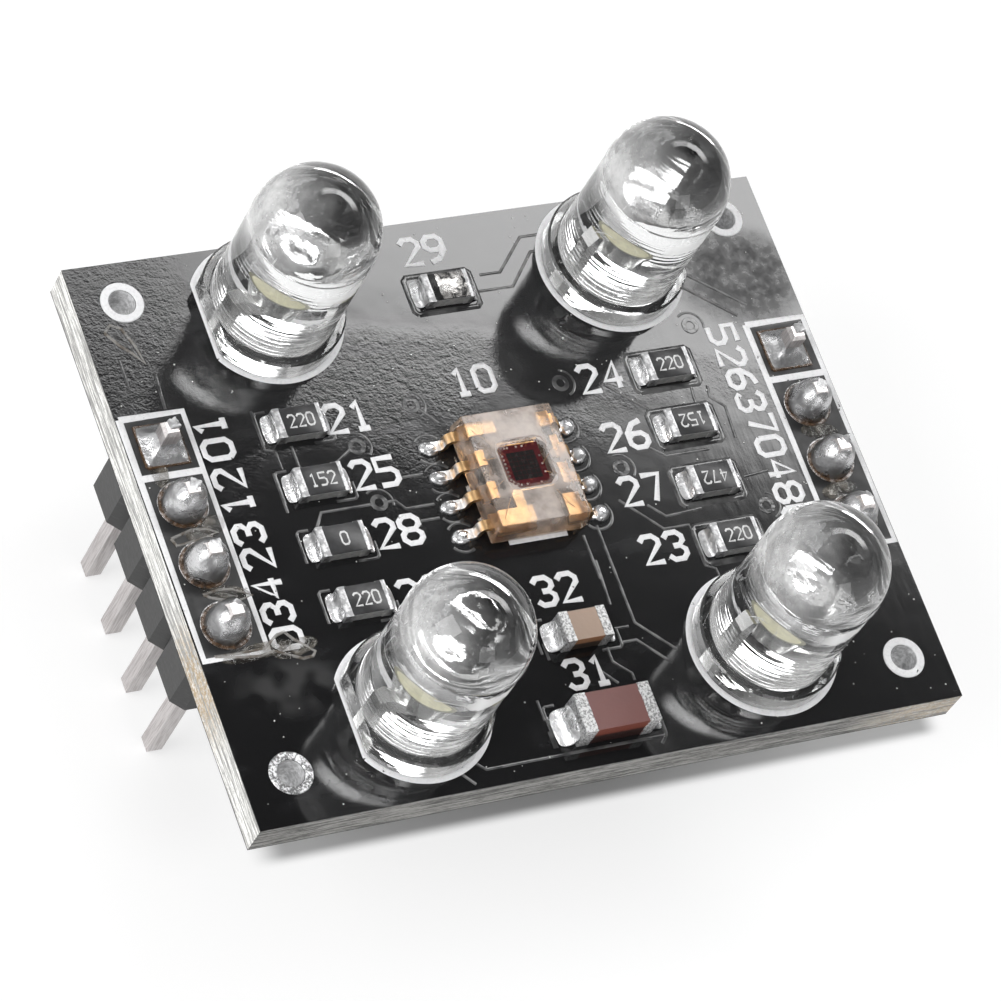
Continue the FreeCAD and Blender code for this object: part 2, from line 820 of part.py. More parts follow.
def make_chips():
    """The two columns of resistors, the one at the back, the two capacitors and their solder."""
    rows = RESISTORS_PER_COLUMN
    front = column_middle - column_span / 2
    resistor = (size.resistor_length, size.resistor_width, size.resistor_height, size.resistor_end)
    for side_name, reach in (("left", -resistor_reach), ("right", resistor_reach)):
        for number in range(1, rows + 1):
            back = front + column_span * (rows - number) / (rows - 1)
            make_chip(f"resistor_{side_name}_{number}", *resistor, reach, back)
    back_resistor = (size.back_resistor_right, end_edge - size.back_resistor_inset)
    small_cap = (size.small_cap_right, size.small_cap_inset - end_edge)
    large_cap = (size.large_cap_right, size.large_cap_inset - end_edge)
    make_chip("resistor_back", *resistor, *back_resistor)
    make_chip(
        "capacitor_small", size.small_cap_length, size.small_cap_width, size.small_cap_height,
        size.small_cap_end, *small_cap,
    )
    make_chip(
        "capacitor_large", size.large_cap_length, size.large_cap_width, size.large_cap_height,
        size.large_cap_end, *large_cap,
    )

    resistor_run = (size.resistor_fillet, size.resistor_fillet_rise)
    column = make_fillets(
        "column_fillets", size.resistor_length, size.resistor_width, *resistor_run,
        (2 * resistor_reach, 2), (column_span, rows),
    )
    place(column, -resistor_reach, front, board_top)
    single = make_fillets("single_fillets", size.resistor_length, size.resistor_width, *resistor_run)
    place(single, *back_resistor, board_top)
    small = make_fillets(
        "small_cap_fillets", size.small_cap_length, size.small_cap_width,
        size.small_cap_fillet, size.small_cap_fillet_rise,
    )
    place(small, *small_cap, board_top)
    large = make_fillets(
        "large_cap_fillets", size.large_cap_length, size.large_cap_width,
        size.large_cap_fillet, size.large_cap_fillet_rise,
    )
    place(large, *large_cap, board_top)
    for name, fillets in (("resistor_solder", [column, single]), ("capacitor_solder", [small, large])):
        group = doc.addObject("Part::Compound", name)
        group.Links = fillets
        keep(group, name)


make_board()
for header_side, header_right in (("left", -header_reach), ("right", header_reach)):
    make_header_plastic(header_side, header_right)
    make_header_solder(header_side, header_right)
    for pin_number in range(1, PINS_PER_HEADER + 1):
        make_header_pin(header_side, header_right, pin_number)
for led_side, led_right, led_turn in (("left", -led_reach, 0), ("right", led_reach, 180)):
    make_led(f"back_{led_side}", led_right, led_back, led_turn)
    make_led(f"front_{led_side}", led_right, led_front, led_turn)
make_led_solder()
make_sensor()
make_chips()

doc.recompute()
for thing in doc.Objects:
    if "Invalid" in thing.State or "Error" in thing.State:
        raise RuntimeError(f"{thing.Name} is {thing.State}")
for part in parts:
    if part.Shape.isNull() or not part.Shape.isValid() or part.Shape.Volume <= 0:
        raise RuntimeError(f"{part.Label} has no valid solid")

os.makedirs("parts", exist_ok=True)
for part in parts:
    part.Shape.exportStep(f"parts/{part.Label}.step")
    box = part.Shape.BoundBox
    print(
        f"{part.Label}: {len(part.Shape.Solids)} solid(s), {part.Shape.Volume:.3f} mm3,"
        f" x {box.XMin:.2f}..{box.XMax:.2f}, y {box.YMin:.2f}..{box.YMax:.2f}, z {box.ZMin:.2f}..{box.ZMax:.2f}"
    )
print(f"{len(parts)} sub-parts written")
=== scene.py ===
"""Color sensor module: the looks of the board, its clear LEDs and sensor, chips, solder and marks."""

import math
import random

import bmesh
import bpy
from mathutils import Matrix, Vector


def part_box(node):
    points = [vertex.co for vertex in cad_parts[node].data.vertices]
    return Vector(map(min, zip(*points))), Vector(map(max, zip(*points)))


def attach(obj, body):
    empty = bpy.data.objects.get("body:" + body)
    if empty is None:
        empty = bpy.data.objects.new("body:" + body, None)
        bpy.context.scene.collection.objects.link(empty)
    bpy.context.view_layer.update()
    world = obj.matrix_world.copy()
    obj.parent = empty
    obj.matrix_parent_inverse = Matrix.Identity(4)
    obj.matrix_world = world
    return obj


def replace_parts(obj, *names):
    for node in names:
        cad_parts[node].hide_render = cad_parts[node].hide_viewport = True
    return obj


bl_info = {
    "name": "Color sensor module",
    "version": (1, 0, 0),
    "blender": (4, 5, 0),
    "location": "3D View > Sidebar > Module",
    "description": "Models the finish and the fine pieces of a color sensor module round its CAD frame",
    "category": "Add Mesh",
}

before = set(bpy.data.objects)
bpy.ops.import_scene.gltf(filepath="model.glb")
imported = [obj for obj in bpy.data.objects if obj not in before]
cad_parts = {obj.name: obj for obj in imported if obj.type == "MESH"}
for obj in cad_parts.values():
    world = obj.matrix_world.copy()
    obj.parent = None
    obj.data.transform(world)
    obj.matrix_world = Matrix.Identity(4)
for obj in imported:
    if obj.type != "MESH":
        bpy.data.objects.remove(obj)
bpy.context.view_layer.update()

METRE = 1000.0
MM = 1.0 / METRE
UP = Vector((0, 0, 1))
SIDES = ("left", "right")
LED_PLACES = ("back_left", "front_left", "back_right", "front_right")


def box_mm(node):
    """The lowest and highest corner of a CAD node, in millimetres."""
    low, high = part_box(node)
    return low * METRE, high * METRE


def middle_mm(node):
    """The middle of a CAD node's box, in millimetres."""
    low, high = box_mm(node)
    return (low + high) / 2


BOARD_LOW, BOARD_HIGH = box_mm("circuit_board")
TOP = BOARD_HIGH.z
UNDER = BOARD_LOW.z
SENSOR = middle_mm("sensor_case")
PIN_ROWS = {side: [middle_mm(f"header_pin_{side}_{n}") for n in (1, 2, 3, 4)] for side in SIDES}
LEDS = {place: middle_mm(f"led_phosphor_{place}") for place in LED_PLACES}
CORNER_HOLES = [(x, y) for x in (-12.99, 13.09) for y in (-9.82, 10.08)]
RESISTORS = [f"resistor_{side}_{n}" for side in SIDES for n in (1, 2, 3, 4)] + ["resistor_back"]
CAPACITORS = ("capacitor_small", "capacitor_large")

# Measured places of the sensor's feet from back to front on the left, and back again on the right
LEAD_PITCH = 1.27
FEET_LEFT = [2.055 - LEAD_PITCH * n for n in range(4)]
FEET_BACK = FEET_LEFT + FEET_LEFT[::-1]

# Measured sizes in millimetres: outer and inner radius of the rings, and radius of the round lines
CORNER_RING = (0.86, 0.54)
PIN_PAD = (1.0, 0.4)
SQUARE_PAD = 1.72
VIA_RING = (0.36, 0.17)
VIA_HALO = 0.58
FOOT_HALO = 0.62
LED_PRINT = 2.98
LED_PRINT_LINE = 0.26
LED_FLAT = 2.5
CODE_HEIGHT = 0.52
PRINT_BASE = 0.012

# The printed frame round a row of pins: past the end pins, and to the left and right of the row
FRAME_PAST = 1.27
FRAME_BESIDE = {"left": (1.31, 1.27), "right": (1.27, 1.33)}

# The sensor: height of its widest line, half width and shift of its window, and the pad of each lead's wire
CASE_WAIST = 0.41
WINDOW = 1.06
WINDOW_SHIFT = 0.1
WIRED_PADS = (7, 6, 2, 0, 15, 16, 17, 11)

# The camera fitted to the photograph, in metres and pixels
PHOTO_PIXELS = 1001
FOCAL_PIXELS = 5170.04
SENSOR_WIDTH = 36.0
CAMERA_PLACE = (-0.08848, -0.07322, 0.16876)
CAMERA_RIGHT = (0.88172, -0.33307, 0.33411)
CAMERA_FORWARD = (0.44855, 0.37242, -0.81247)

# Measured lines of copper under the mask, as points across and back from the board's middle
TRACES = [
    [(1.8, 9.1), (2.7, 9.1), (4.1, 10.5), (5.0, 10.5)],
    [(1.5, 8.4), (3.0, 8.4), (4.3, 9.8), (4.9, 9.8)],
    [(-9.5, 4.8), (-9.5, 3.1), (-9.1, 3.0), (-9.1, 2.2)],
    [(-9.5, 2.1), (-9.5, 0.4)],
    [(-8.4, 3.1), (-8.4, 2.2)],
    [(-7.1, 2.0), (-6.1, 2.6)],
    [(-4.5, 1.1), (-3.6, 1.1)],
    [(-8.6, -0.4), (-8.2, 0.2), (-6.1, 0.2)],
    [(-5.5, 0.2), (-5.1, 0.2), (-4.8, -0.2), (-3.6, -0.2)],
    [(-4.5, -0.8), (-3.6, -0.8)],
    [(-2.8, 3.8), (-2.2, 3.1)],
    [(2.0, -3.6), (1.9, -5.5)],
    [(1.9, -2.5), (1.9, -4.4)],
    [(2.6, -2.2), (2.6, -6.4), (3.9, -7.8)],
    [(1.7, -6.5), (2.3, -6.5)],
    [(1.8, -7.1), (2.4, -7.1), (3.5, -8.3)],
    [(1.1, -7.2), (1.1, -7.8), (1.7, -8.4), (1.7, -8.7)],
    [(0.5, -8.1), (1.0, -8.7)],
    [(-2.5, -8.8), (-2.5, -9.6), (-2.2, -9.7)],
    [(-2.5, -10.1), (-2.5, -10.8)],
    [(-1.4, -6.6), (-1.4, -7.3)],
    [(-5.9, -10.7), (-5.5, -11.1), (1.4, -11.1)],
    [(-6.6, -11.0), (-6.1, -11.6)],
    [(2.1, -10.7), (2.1, -11.1), (1.8, -11.4)],
    [(5.0, -1.7), (5.6, -2.3), (7.2, -2.2)],
    [(3.9, -1.3), (5.3, -2.8), (6.4, -2.8), (6.4, -4.6), (6.8, -4.8), (6.8, -5.1)],
    [(6.0, 0.7), (6.6, 0.2), (8.5, 0.2)],
    [(9.5, -1.2), (10.6, -1.1)],
    [(9.5, -3.7), (10.4, -3.7)],
    [(8.8, 3.1), (8.7, 2.2)],
    [(9.5, 2.9), (9.4, 2.4), (9.9, 1.9), (9.8, 0.5)],
    [(5.2, 3.6), (6.8, 2.1)],
    [(-13.9, 7.7), (-13.9, 6.5)],
    [(-12.7, 6.9), (-12.8, 5.4)],
    [(9.3, 8.0), (12.0, 5.7)],
    [(9.9, 8.3), (12.6, 6.1)],
]
VIAS = [(-3.05, 4.02), (-5.83, 2.65), (-5.78, 0.21), (3.4, 3.97), (4.52, 0.01), (9.8, 5.58), (9.95, -2.56)]

# Edges of the dried flux, as points across and back
FLUX_LOOPS = [
    [(-14.3, -4.82), (-13.3, -4.85), (-12.31, -4.83), (-11.7, -4.4), (-11.34, -4.3), (-11.08, -4.65),
     (-10.4, -5.28), (-10.55, -5.45), (-10.97, -5.48), (-11.98, -4.99), (-12.6, -5.1), (-13.4, -5.0)],
    [(-14.36, 0.12), (-13.47, 0.35), (-12.9, 0.3), (-12.51, 0.1), (-13.22, -0.08), (-14.23, -0.2)],
    [(-13.9, -2.31), (-13.3, -2.2), (-12.79, -2.26), (-12.04, -2.64), (-12.78, -2.8), (-13.64, -2.48)],
    [(-14.1, 8.9), (-13.8, 9.2), (-13.4, 9.0), (-13.1, 8.2), (-12.95, 7.4), (-13.3, 7.9), (-13.7, 8.3)],
]

# Pools of dried flux: middle across and back, half width, half depth and turn in degrees
FLUX_POOLS = [
    (-12.9, 0.3, 0.9, 0.45, 20),
    (-13.0, -2.35, 1.0, 0.3, -15),
    (-12.6, -4.9, 1.5, 0.32, 5),
    (-11.1, -5.0, 0.95, 0.35, 10),
    (-13.9, 2.9, 0.35, 0.7, 0),
    (13.3, -2.4, 0.8, 0.35, 10),
    (13.5, 0.2, 0.8, 0.35, -10),
]

# Plain printed numbers: text, middle across and back, height, turn in degrees
LABELS = [
    ("21", -5.77, 3.93, 1.14, 0),
    ("25", -5.53, 1.45, 1.14, 0),
    ("28", -5.45, -1.09, 1.14, 0),
    ("22", -5.45, -3.71, 1.14, 0),
    ("24", 5.14, 3.95, 1.14, 0),
    ("26", 5.2, 1.31, 1.14, 0),
    ("27", 5.02, -1.03, 1.14, 0),
    ("23", 4.96, -3.58, 1.14, 0),
    ("29", -0.17, 10.5, 1.12, 0),
    ("10", -0.17, 4.67, 1.08, 0),
    ("32", -0.04, -4.51, 1.14, 0),
    ("31", -0.08, -8.04, 1.12, 0),
    ("01", -11.32, 3.95, 1.14, 90),
    ("12", -11.33, 1.63, 1.14, 90),
    ("23", -11.32, -0.72, 1.14, 90),
    ("034", -11.3, -3.53, 1.14, 90),
    ("52", 11.03, 4.48, 1.12, -90),
    ("63", 11.08, 2.44, 1.12, -90),
    ("704", 11.14, -0.1, 1.12, -90),
    ("805", 11.1, -3.2, 1.12, -90),
]

# Plain number codes on the resistors beside the sensor, and their turn in degrees
CODES = [("220", 0), ("152", 0), ("0", 0), ("220", 0), ("220", 0), ("152", 180), ("472", 180), ("220", 0)]

# Pen strokes of the digits on a grid four wide and six high
DIGITS = {
    "0": [[(0, 1), (0, 5), (1, 6), (3, 6), (4, 5), (4, 1), (3, 0), (1, 0), (0, 1)]],
    "1": [[(0.8, 4.8), (2, 6), (2, 0)], [(0.8, 0), (3.2, 0)]],
    "2": [[(0, 5), (1, 6), (3, 6), (4, 5), (4, 4), (0, 0), (4, 0)]],
    "3": [[(0, 5), (1, 6), (3, 6), (4, 5), (4, 4), (3, 3), (4, 2), (4, 1), (3, 0), (1, 0), (0, 1)],
          [(3, 3), (1.6, 3)]],
    "4": [[(3, 0), (3, 6), (0, 2), (4, 2)]],
    "5": [[(4, 6), (0, 6), (0, 3.4), (3, 3.4), (4, 2.5), (4, 1), (3, 0), (0, 0)]],
    "6": [[(3.6, 6), (1.6, 5.4), (0, 3.4), (0, 1), (1, 0), (3, 0), (4, 1), (4, 2.3), (3, 3.2), (1, 3.2),
           (0, 2.4)]],
    "7": [[(0, 6), (4, 6), (1.6, 0)]],
    "8": [[(1, 3), (0, 4), (0, 5), (1, 6), (3, 6), (4, 5), (4, 4), (3, 3), (4, 2), (4, 1), (3, 0), (1, 0),
           (0, 1), (0, 2), (1, 3), (3, 3)]],
    "9": [[(0.4, 0), (2.4, 0.6), (4, 2.6), (4, 5), (3, 6), (1, 6), (0, 5), (0, 3.7), (1, 2.8), (3, 2.8),
           (4, 3.6)]],
}


class ModuleSizes(bpy.types.PropertyGroup):
    """Sizes of the fine pieces, in metres"""

    silk_line: bpy.props.FloatProperty(
        name="Printed line", description="Width of the white printed lines", default=0.00019, unit="LENGTH")
    silk_rise: bpy.props.FloatProperty(
        name="Print thickness", description="How far the white print stands off the mask", default=0.00002,
        unit="LENGTH")
    trace_line: bpy.props.FloatProperty(
        name="Trace ridge", description="Width of the ridge over a copper trace's edge", default=0.00013,
        unit="LENGTH")
    trace_rise: bpy.props.FloatProperty(
        name="Trace height", description="Height of the ridge over a copper trace's edge", default=0.000011,
        unit="LENGTH")
    joint_radius: bpy.props.FloatProperty(
        name="Pin joint radius", description="Radius of a header pin's solder joint at the board",
        default=0.00086, unit="LENGTH")
    joint_height: bpy.props.FloatProperty(
        name="Pin joint height", description="Height of a header pin's solder joint", default=0.00142,
        unit="LENGTH")
    lens_radius: bpy.props.FloatProperty(
        name="Lens radius", description="Radius of a clear LED's round body", default=0.0025, unit="LENGTH")
    lens_height: bpy.props.FloatProperty(
        name="Lens height", description="Height of a clear LED over the board", default=0.0086, unit="LENGTH")
    flange_radius: bpy.props.FloatProperty(
        name="Flange radius", description="Radius of a clear LED's foot", default=0.0029, unit="LENGTH")
    wire_radius: bpy.props.FloatProperty(
        name="Bond wire radius", description="Radius of the fine gold wires", default=0.000014, unit="LENGTH")
    speck_count: bpy.props.IntProperty(
        name="Dust specks", description="How many specks of dust lie on the board", default=280, min=0,
        max=500)


class ModuleColors(bpy.types.PropertyGroup):
    """Colors of the finishes"""

    mask: bpy.props.FloatVectorProperty(
        name="Solder mask", description="Black coating of the board", subtype="COLOR", size=3,
        default=(0.009, 0.009, 0.0095), min=0, max=1)
    laminate: bpy.props.FloatVectorProperty(
        name="Laminate", description="Cut edge of the glass-epoxy board", subtype="COLOR", size=3,
        default=(0.66, 0.655, 0.635), min=0, max=1)
    print_white: bpy.props.FloatVectorProperty(
        name="Print", description="White print on the board", subtype="COLOR", size=3,
        default=(0.8, 0.8, 0.81), min=0, max=1)
    solder: bpy.props.FloatVectorProperty(
        name="Solder", description="Bright solder and tin", subtype="COLOR", size=3,
        default=(0.82, 0.82, 0.83), min=0, max=1)
    lead: bpy.props.FloatVectorProperty(
        name="LED leads", description="Plated stamped metal in the LEDs", subtype="COLOR", size=3,
        default=(0.86, 0.86, 0.85), min=0, max=1)
    gold: bpy.props.FloatVectorProperty(
        name="Gold", description="Gold plating of the sensor's lead frame", subtype="COLOR", size=3,
        default=(0.78, 0.5, 0.25), min=0, max=1)
    phosphor: bpy.props.FloatVectorProperty(
        name="Phosphor", description="Pale yellow fill of the LED cups", subtype="COLOR", size=3,
        default=(0.8, 0.77, 0.57), min=0, max=1)
    die: bpy.props.FloatVectorProperty(
        name="Sensor chip", description="Dark red border of the sensor's chip", subtype="COLOR", size=3,
        default=(0.13, 0.018, 0.025), min=0, max=1)
    tan: bpy.props.FloatVectorProperty(
        name="Small capacitor", description="Tan ceramic", subtype="COLOR", size=3,
        default=(0.35, 0.245, 0.18), min=0, max=1)
    brown: bpy.props.FloatVectorProperty(
        name="Large capacitor", description="Reddish brown ceramic", subtype="COLOR", size=3,
        default=(0.17, 0.058, 0.05), min=0, max=1)
    plastic: bpy.props.FloatVectorProperty(
        name="Header plastic", description="Black moulded strips of the pin headers", subtype="COLOR", size=3,
        default=(0.03, 0.03, 0.03), min=0, max=1)


def sizes():
    """The sizes that the sidebar shows."""
    return bpy.context.scene.module_sizes


def colors():
    """The colors that the sidebar shows."""
    return bpy.context.scene.module_colors


class Signal:
    """A socket of a finish, with arithmetic that adds Math nodes."""

    def __init__(self, sheet, socket):
        self.sheet = sheet
        self.socket = socket

    def math(self, operation, *others):
        return self.sheet.add("ShaderNodeMath", {"operation": operation}, dict(enumerate((self, *others))))

    def __add__(self, other):
        return self.math("ADD", other)

    __radd__ = __add__

    def __sub__(self, other):
        return self.math("SUBTRACT", other)

    def __rsub__(self, other):
        return -self + other

    def __mul__(self, other):
        return self.math("MULTIPLY", other)

    __rmul__ = __mul__

    def __truediv__(self, other):
        return self.math("DIVIDE", other)

    def __neg__(self):
        return self * -1

    def __abs__(self):
        return self.math("ABSOLUTE")

    def most(self, other):
        return self.math("MAXIMUM", other)

    def rise(self, low, high):
        """0 below low, 1 above high and smooth between them."""
        smooth = {"interpolation_type": "SMOOTHSTEP"}
        return self.sheet.add("ShaderNodeMapRange", smooth, {0: self, 1: low, 2: high})

    def wave(self, length):
        """Runs from 0 to half the length and back, over and over."""
        return self.math("PINGPONG", length / 2)


class Sheet:
    """Adds nodes to one material or world."""

    def __init__(self, owner):
        owner.use_nodes = True
        self.tree = owner.node_tree

    def link(self, socket, value):
        if isinstance(value, Signal):
            self.tree.links.new(value.socket, socket)
        elif isinstance(socket.default_value, (int, float)):
            socket.default_value = value
        else:
            values = tuple(value)
            socket.default_value = values + (1.0,) * (len(socket.default_value) - len(values))

    def add(self, kind, settings=None, inputs=None, output=0):
        node = self.tree.nodes.new(kind)
        for key, value in (settings or {}).items():
            setattr(node, key, value)
        for key, value in (inputs or {}).items():
            self.link(node.inputs[key], value)
        return Signal(self, node.outputs[output])

    def vector(self, operation, first, second):
        return self.add("ShaderNodeVectorMath", {"operation": operation}, {0: first, 1: second})

    def distance(self, vector, centre):
        return self.add("ShaderNodeVectorMath", {"operation": "DISTANCE"}, {0: vector, 1: centre}, output=1)

    def place(self, centre=(0, 0, 0)):
        """The point on the object in millimetres, from a centre."""
        raw = self.add("ShaderNodeTexCoord", output="Object")
        scaled = self.add("ShaderNodeVectorMath", {"operation": "SCALE"}, {0: raw, "Scale": METRE})
        return self.vector("SUBTRACT", scaled, tuple(centre)) if any(centre) else scaled

    def parts(self, vector):
        node = self.tree.nodes.new("ShaderNodeSeparateXYZ")
        self.link(node.inputs[0], vector)
        return [Signal(self, node.outputs[n]) for n in range(3)]

    def stretch(self, vector, factors):
        return self.vector("MULTIPLY", vector, factors)

    def noise(self, vector, scale, detail=2.0, rough=0.5, warp=0.0):
        return self.add("ShaderNodeTexNoise", None, {
            "Vector": vector, "Scale": scale, "Detail": detail, "Roughness": rough, "Distortion": warp})

    def mix(self, factor, first, second):
        return self.add("ShaderNodeMix", {"data_type": "RGBA"}, {0: factor, 6: first, 7: second}, output=2)

    def facing(self):
        """How far the surface faces along each axis."""
        return self.parts(self.add("ShaderNodeNewGeometry", output="Normal"))

    def bump(self, height, distance, strength=1.0):
        return self.add("ShaderNodeBump", None, {
            "Strength": strength, "Distance": distance * MM, "Height": height})


class Finish(Sheet):
    """A material with one main shader."""

    def __init__(self, name, **constants):
        self.material = bpy.data.materials.new(name)
        super().__init__(self.material)
        self.shader = self.tree.nodes["Principled BSDF"]
        self.set(**constants)

    def set(self, **values):
        for key, value in values.items():
            self.link(self.shader.inputs[key.replace("_", " ").title().replace("Ior", "IOR")], value)

    def blend(self, other, factor):
        """Mixes another shader over what the surface shows so far."""
        surface = self.tree.nodes["Material Output"].inputs["Surface"]
        mixed = self.add("ShaderNodeMixShader", None, {0: factor})
        self.tree.links.new(surface.links[0].from_socket, mixed.socket.node.inputs[1])
        self.tree.links.new(other.socket, mixed.socket.node.inputs[2])
        self.tree.links.new(mixed.socket, surface)

    def near(self, value, spread, vector, scale):
        """A value that wanders by a spread with noise."""
        return (self.noise(vector, scale, 3.0) - 0.5) * (2 * spread) + value


def shade(color, factor):
    """A color made lighter or darker."""
    return tuple(min(1.0, part * factor) for part in color[:3])


def select_only(*pieces):
    if bpy.context.object and bpy.context.object.mode != "OBJECT":
        bpy.ops.object.mode_set(mode="OBJECT")
    bpy.ops.object.select_all(action="DESELECT")
    for piece in pieces:
        piece.select_set(True)
        bpy.context.view_layer.objects.active = piece


def apply_place():
    """Puts the place, turn and scale of what is selected into its mesh."""
    bpy.ops.object.transform_apply(location=True, rotation=True, scale=True)


def named(piece, name):
    piece.name = name
    piece.data.name = name
    return piece


def primitive(name, kind, **settings):
    """Adds one of Blender's simple meshes by itself, with its place in its mesh."""
    bpy.ops.object.select_all(action="DESELECT")
    getattr(bpy.ops.mesh, f"primitive_{kind}_add")(**settings)
    apply_place()
    return named(bpy.context.active_object, name)


def edit(piece, kind="VERT"):
    """Goes into edit mode with all of one piece selected."""
    select_only(piece)
    bpy.ops.object.mode_set(mode="EDIT")
    bpy.ops.mesh.select_mode(type=kind)
    bpy.ops.mesh.select_all(action="SELECT")


def leave():
    bpy.ops.object.mode_set(mode="OBJECT")


def face_outwards():
    """In edit mode, turns all normals outwards."""
    bpy.ops.mesh.select_all(action="SELECT")
    bpy.ops.mesh.normals_make_consistent(inside=False)


def pull_up(height):
    """In edit mode, extrudes what is selected upwards."""
    bpy.ops.mesh.extrude_region_move(TRANSFORM_OT_translate={"value": (0, 0, height)})


def pick(piece, test):
    """In edit mode, selects only the vertices whose place passes a test."""
    bpy.ops.mesh.select_all(action="DESELECT")
    mesh = bmesh.from_edit_mesh(piece.data)
    found = [vert for vert in mesh.verts if test(vert.co)]
    if not found:
        raise RuntimeError(f"{piece.name}: nothing was selected")
    for vert in found:
        vert.select_set(True)
    mesh.select_flush_mode()
    bmesh.update_edit_mesh(piece.data)


def cut_off(piece, place, direction):
    """Cuts away what lies past a plane and closes the cut."""
    edit(piece)
    bpy.ops.mesh.bisect(plane_co=place, plane_no=direction, clear_outer=True, use_fill=True, threshold=0.0001)
    leave()


def roughen(piece, offset, seed, **settings):
    """Moves the vertices of a piece at random."""
    edit(piece)
    bpy.ops.transform.vertex_random(offset=offset, seed=seed, **settings)
    leave()


def modify(piece, kind, **settings):
    """Adds a modifier and applies it."""
    select_only(piece)
    modifier = piece.modifiers.new(kind.title(), kind)
    for key, value in settings.items():
        setattr(modifier, key, value)
    bpy.ops.object.modifier_apply(modifier=modifier.name)


def round_off(piece, levels):
    modify(piece, "SUBSURF", levels=levels, render_levels=levels)


def soften(piece, width, segments=2, angle=30):
    sharp = math.radians(angle)
    modify(piece, "BEVEL", width=width, segments=segments, limit_method="ANGLE", angle_limit=sharp)


def finish(piece, material):
    """Scales a piece to metres, shades it, gives it its material and lets it ride with the module."""
    select_only(piece)
    piece.scale = (MM, MM, MM)
    apply_place()
    bpy.ops.object.shade_smooth_by_angle(angle=math.radians(35))
    piece.data.materials.clear()
    piece.data.materials.append(material)
    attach(piece, "root")
    return piece


def dress(node, material):
    """Gives a CAD node its material."""
    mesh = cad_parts[node].data
    mesh.materials.clear()
    mesh.materials.append(material)


def copy_of(piece, name, shift=(0, 0, 0), turn=0.0, size=(1, 1, 1)):
    """A copy with its own mesh, scaled, turned round the upright axis and then shifted."""
    select_only(piece)
    bpy.ops.object.duplicate(linked=False)
    twin = named(bpy.context.active_object, name)
    twin.location = shift
    twin.rotation_euler = (0, 0, math.radians(turn))
    twin.scale = size
    apply_place()
    return twin


def join(name, pieces):
    select_only(*pieces)
    if len(pieces) > 1:
        bpy.ops.object.join()
    return named(bpy.context.active_object, name)


def discard(*pieces):
    for piece in pieces:
        bpy.data.objects.remove(piece, do_unlink=True)


def draw_lines(name, lines):
    """A mesh of edges that follow lines of points: a vertex is made and extruded from point to point."""
    piece = primitive(name, "plane", size=1)
    edit(piece)
    bpy.ops.mesh.delete(type="VERT")
    for line in lines:
        here = Vector(line[0]).to_3d()
        bpy.ops.mesh.primitive_circle_add(vertices=3, radius=0.01, location=here)
        bpy.ops.mesh.merge(type="CENTER")
        for point in line[1:]:
            there = Vector(point).to_3d()
            bpy.ops.mesh.extrude_region_move(TRANSFORM_OT_translate={"value": there - here})
            here = there
    leave()
    return piece


def tube(name, lines, radius):
    """Round wires along lines of points, with closed ends."""
    draw_lines(name, lines)
    bpy.ops.object.convert(target="CURVE")
    curve = bpy.context.active_object.data
    curve.bevel_depth = radius
    curve.bevel_resolution = 2
    curve.use_fill_caps = True
    bpy.ops.object.convert(target="MESH")
    piece = bpy.context.active_object
    edit(piece)
    bpy.ops.mesh.remove_doubles(threshold=0.0002)
    leave()
    return piece


def strip(name, lines, width, rise, base=0.0):
    """Lines drawn with a round pen and then pressed flat on the board."""
    piece = tube(name, lines, width / 2)
    edit(piece)
    bpy.ops.transform.resize(value=(1, 1, 2 * rise / width), center_override=(0, 0, 0))
    bpy.ops.transform.translate(value=(0, 0, base))
    leave()
    return piece


def spun(name, profile, steps):
    """A closed shape spun from a profile of (radius, height) points."""
    piece = draw_lines(name, [[(radius, 0, height) for radius, height in profile]])
    edit(piece)
    bpy.ops.mesh.spin(steps=steps, angle=2 * math.pi, center=(0, 0, 0), axis=(0, 0, 1))
    bpy.ops.mesh.select_all(action="SELECT")
    bpy.ops.mesh.remove_doubles(threshold=0.0004)
    bpy.ops.mesh.normals_make_consistent(inside=False)
    leave()
    return piece


def ring(name, outer, inner, rise, steps=64):
    """A flat ring that stands on the board with softened edges."""
    edge = min(rise, (outer - inner) / 2) * 0.6
    inside = [(inner, 0), (inner, rise - edge), (inner + edge, rise)]
    outside = [(outer - edge, rise), (outer, rise - edge), (outer, 0)]
    return spun(name, inside + outside + inside[:1], steps)


def block(name, size, centre):
    """A box with edges to be softened."""
    return primitive(name, "cube", size=1, location=centre, scale=size)


def led_turn(place):
    """The flat of each LED faces the nearer side of the board."""
    return 0 if "left" in place else 180


def arc(radius, start, end, steps):
    """Points on an arc round the middle, angles in degrees."""
    angles = [math.radians(start + (end - start) * n / steps) for n in range(steps + 1)]
    return [(radius * math.cos(a), radius * math.sin(a)) for a in angles]


def wire(start, end, rise, steps, peak):
    """Points of a bond wire that bows up between its ends, highest half way to its peak step."""
    return [start.lerp(end, n / steps) + UP * (rise * math.sin(math.pi * min(1, n / peak)))
            for n in range(steps + 1)]


def lettering(name, texts, pen, rise, base, narrow=1.0):
    """Numbers from copies of ten drawn digits; each text is (digits, across, back, height, turn)."""
    drawn = {}
    pieces = []
    for text, across, back, height, turn in texts:
        size = height / 6
        advance = 5.5 * size * narrow
        angle = math.radians(turn)
        for place, digit in enumerate(text):
            if digit not in drawn:
                lines = [[(x - 2, y - 3) for x, y in line] for line in DIGITS[digit]]
                drawn[digit] = strip(f"digit_{digit}", lines, 6 * pen, 1.0)
            along = (place - (len(text) - 1) / 2) * advance
            shift = (across + along * math.cos(angle), back + along * math.sin(angle), base)
            pieces.append(copy_of(drawn[digit], "digit", shift, turn, (size * narrow, size, rise)))
    discard(*drawn.values())
    return join(name, pieces)


# Finishes

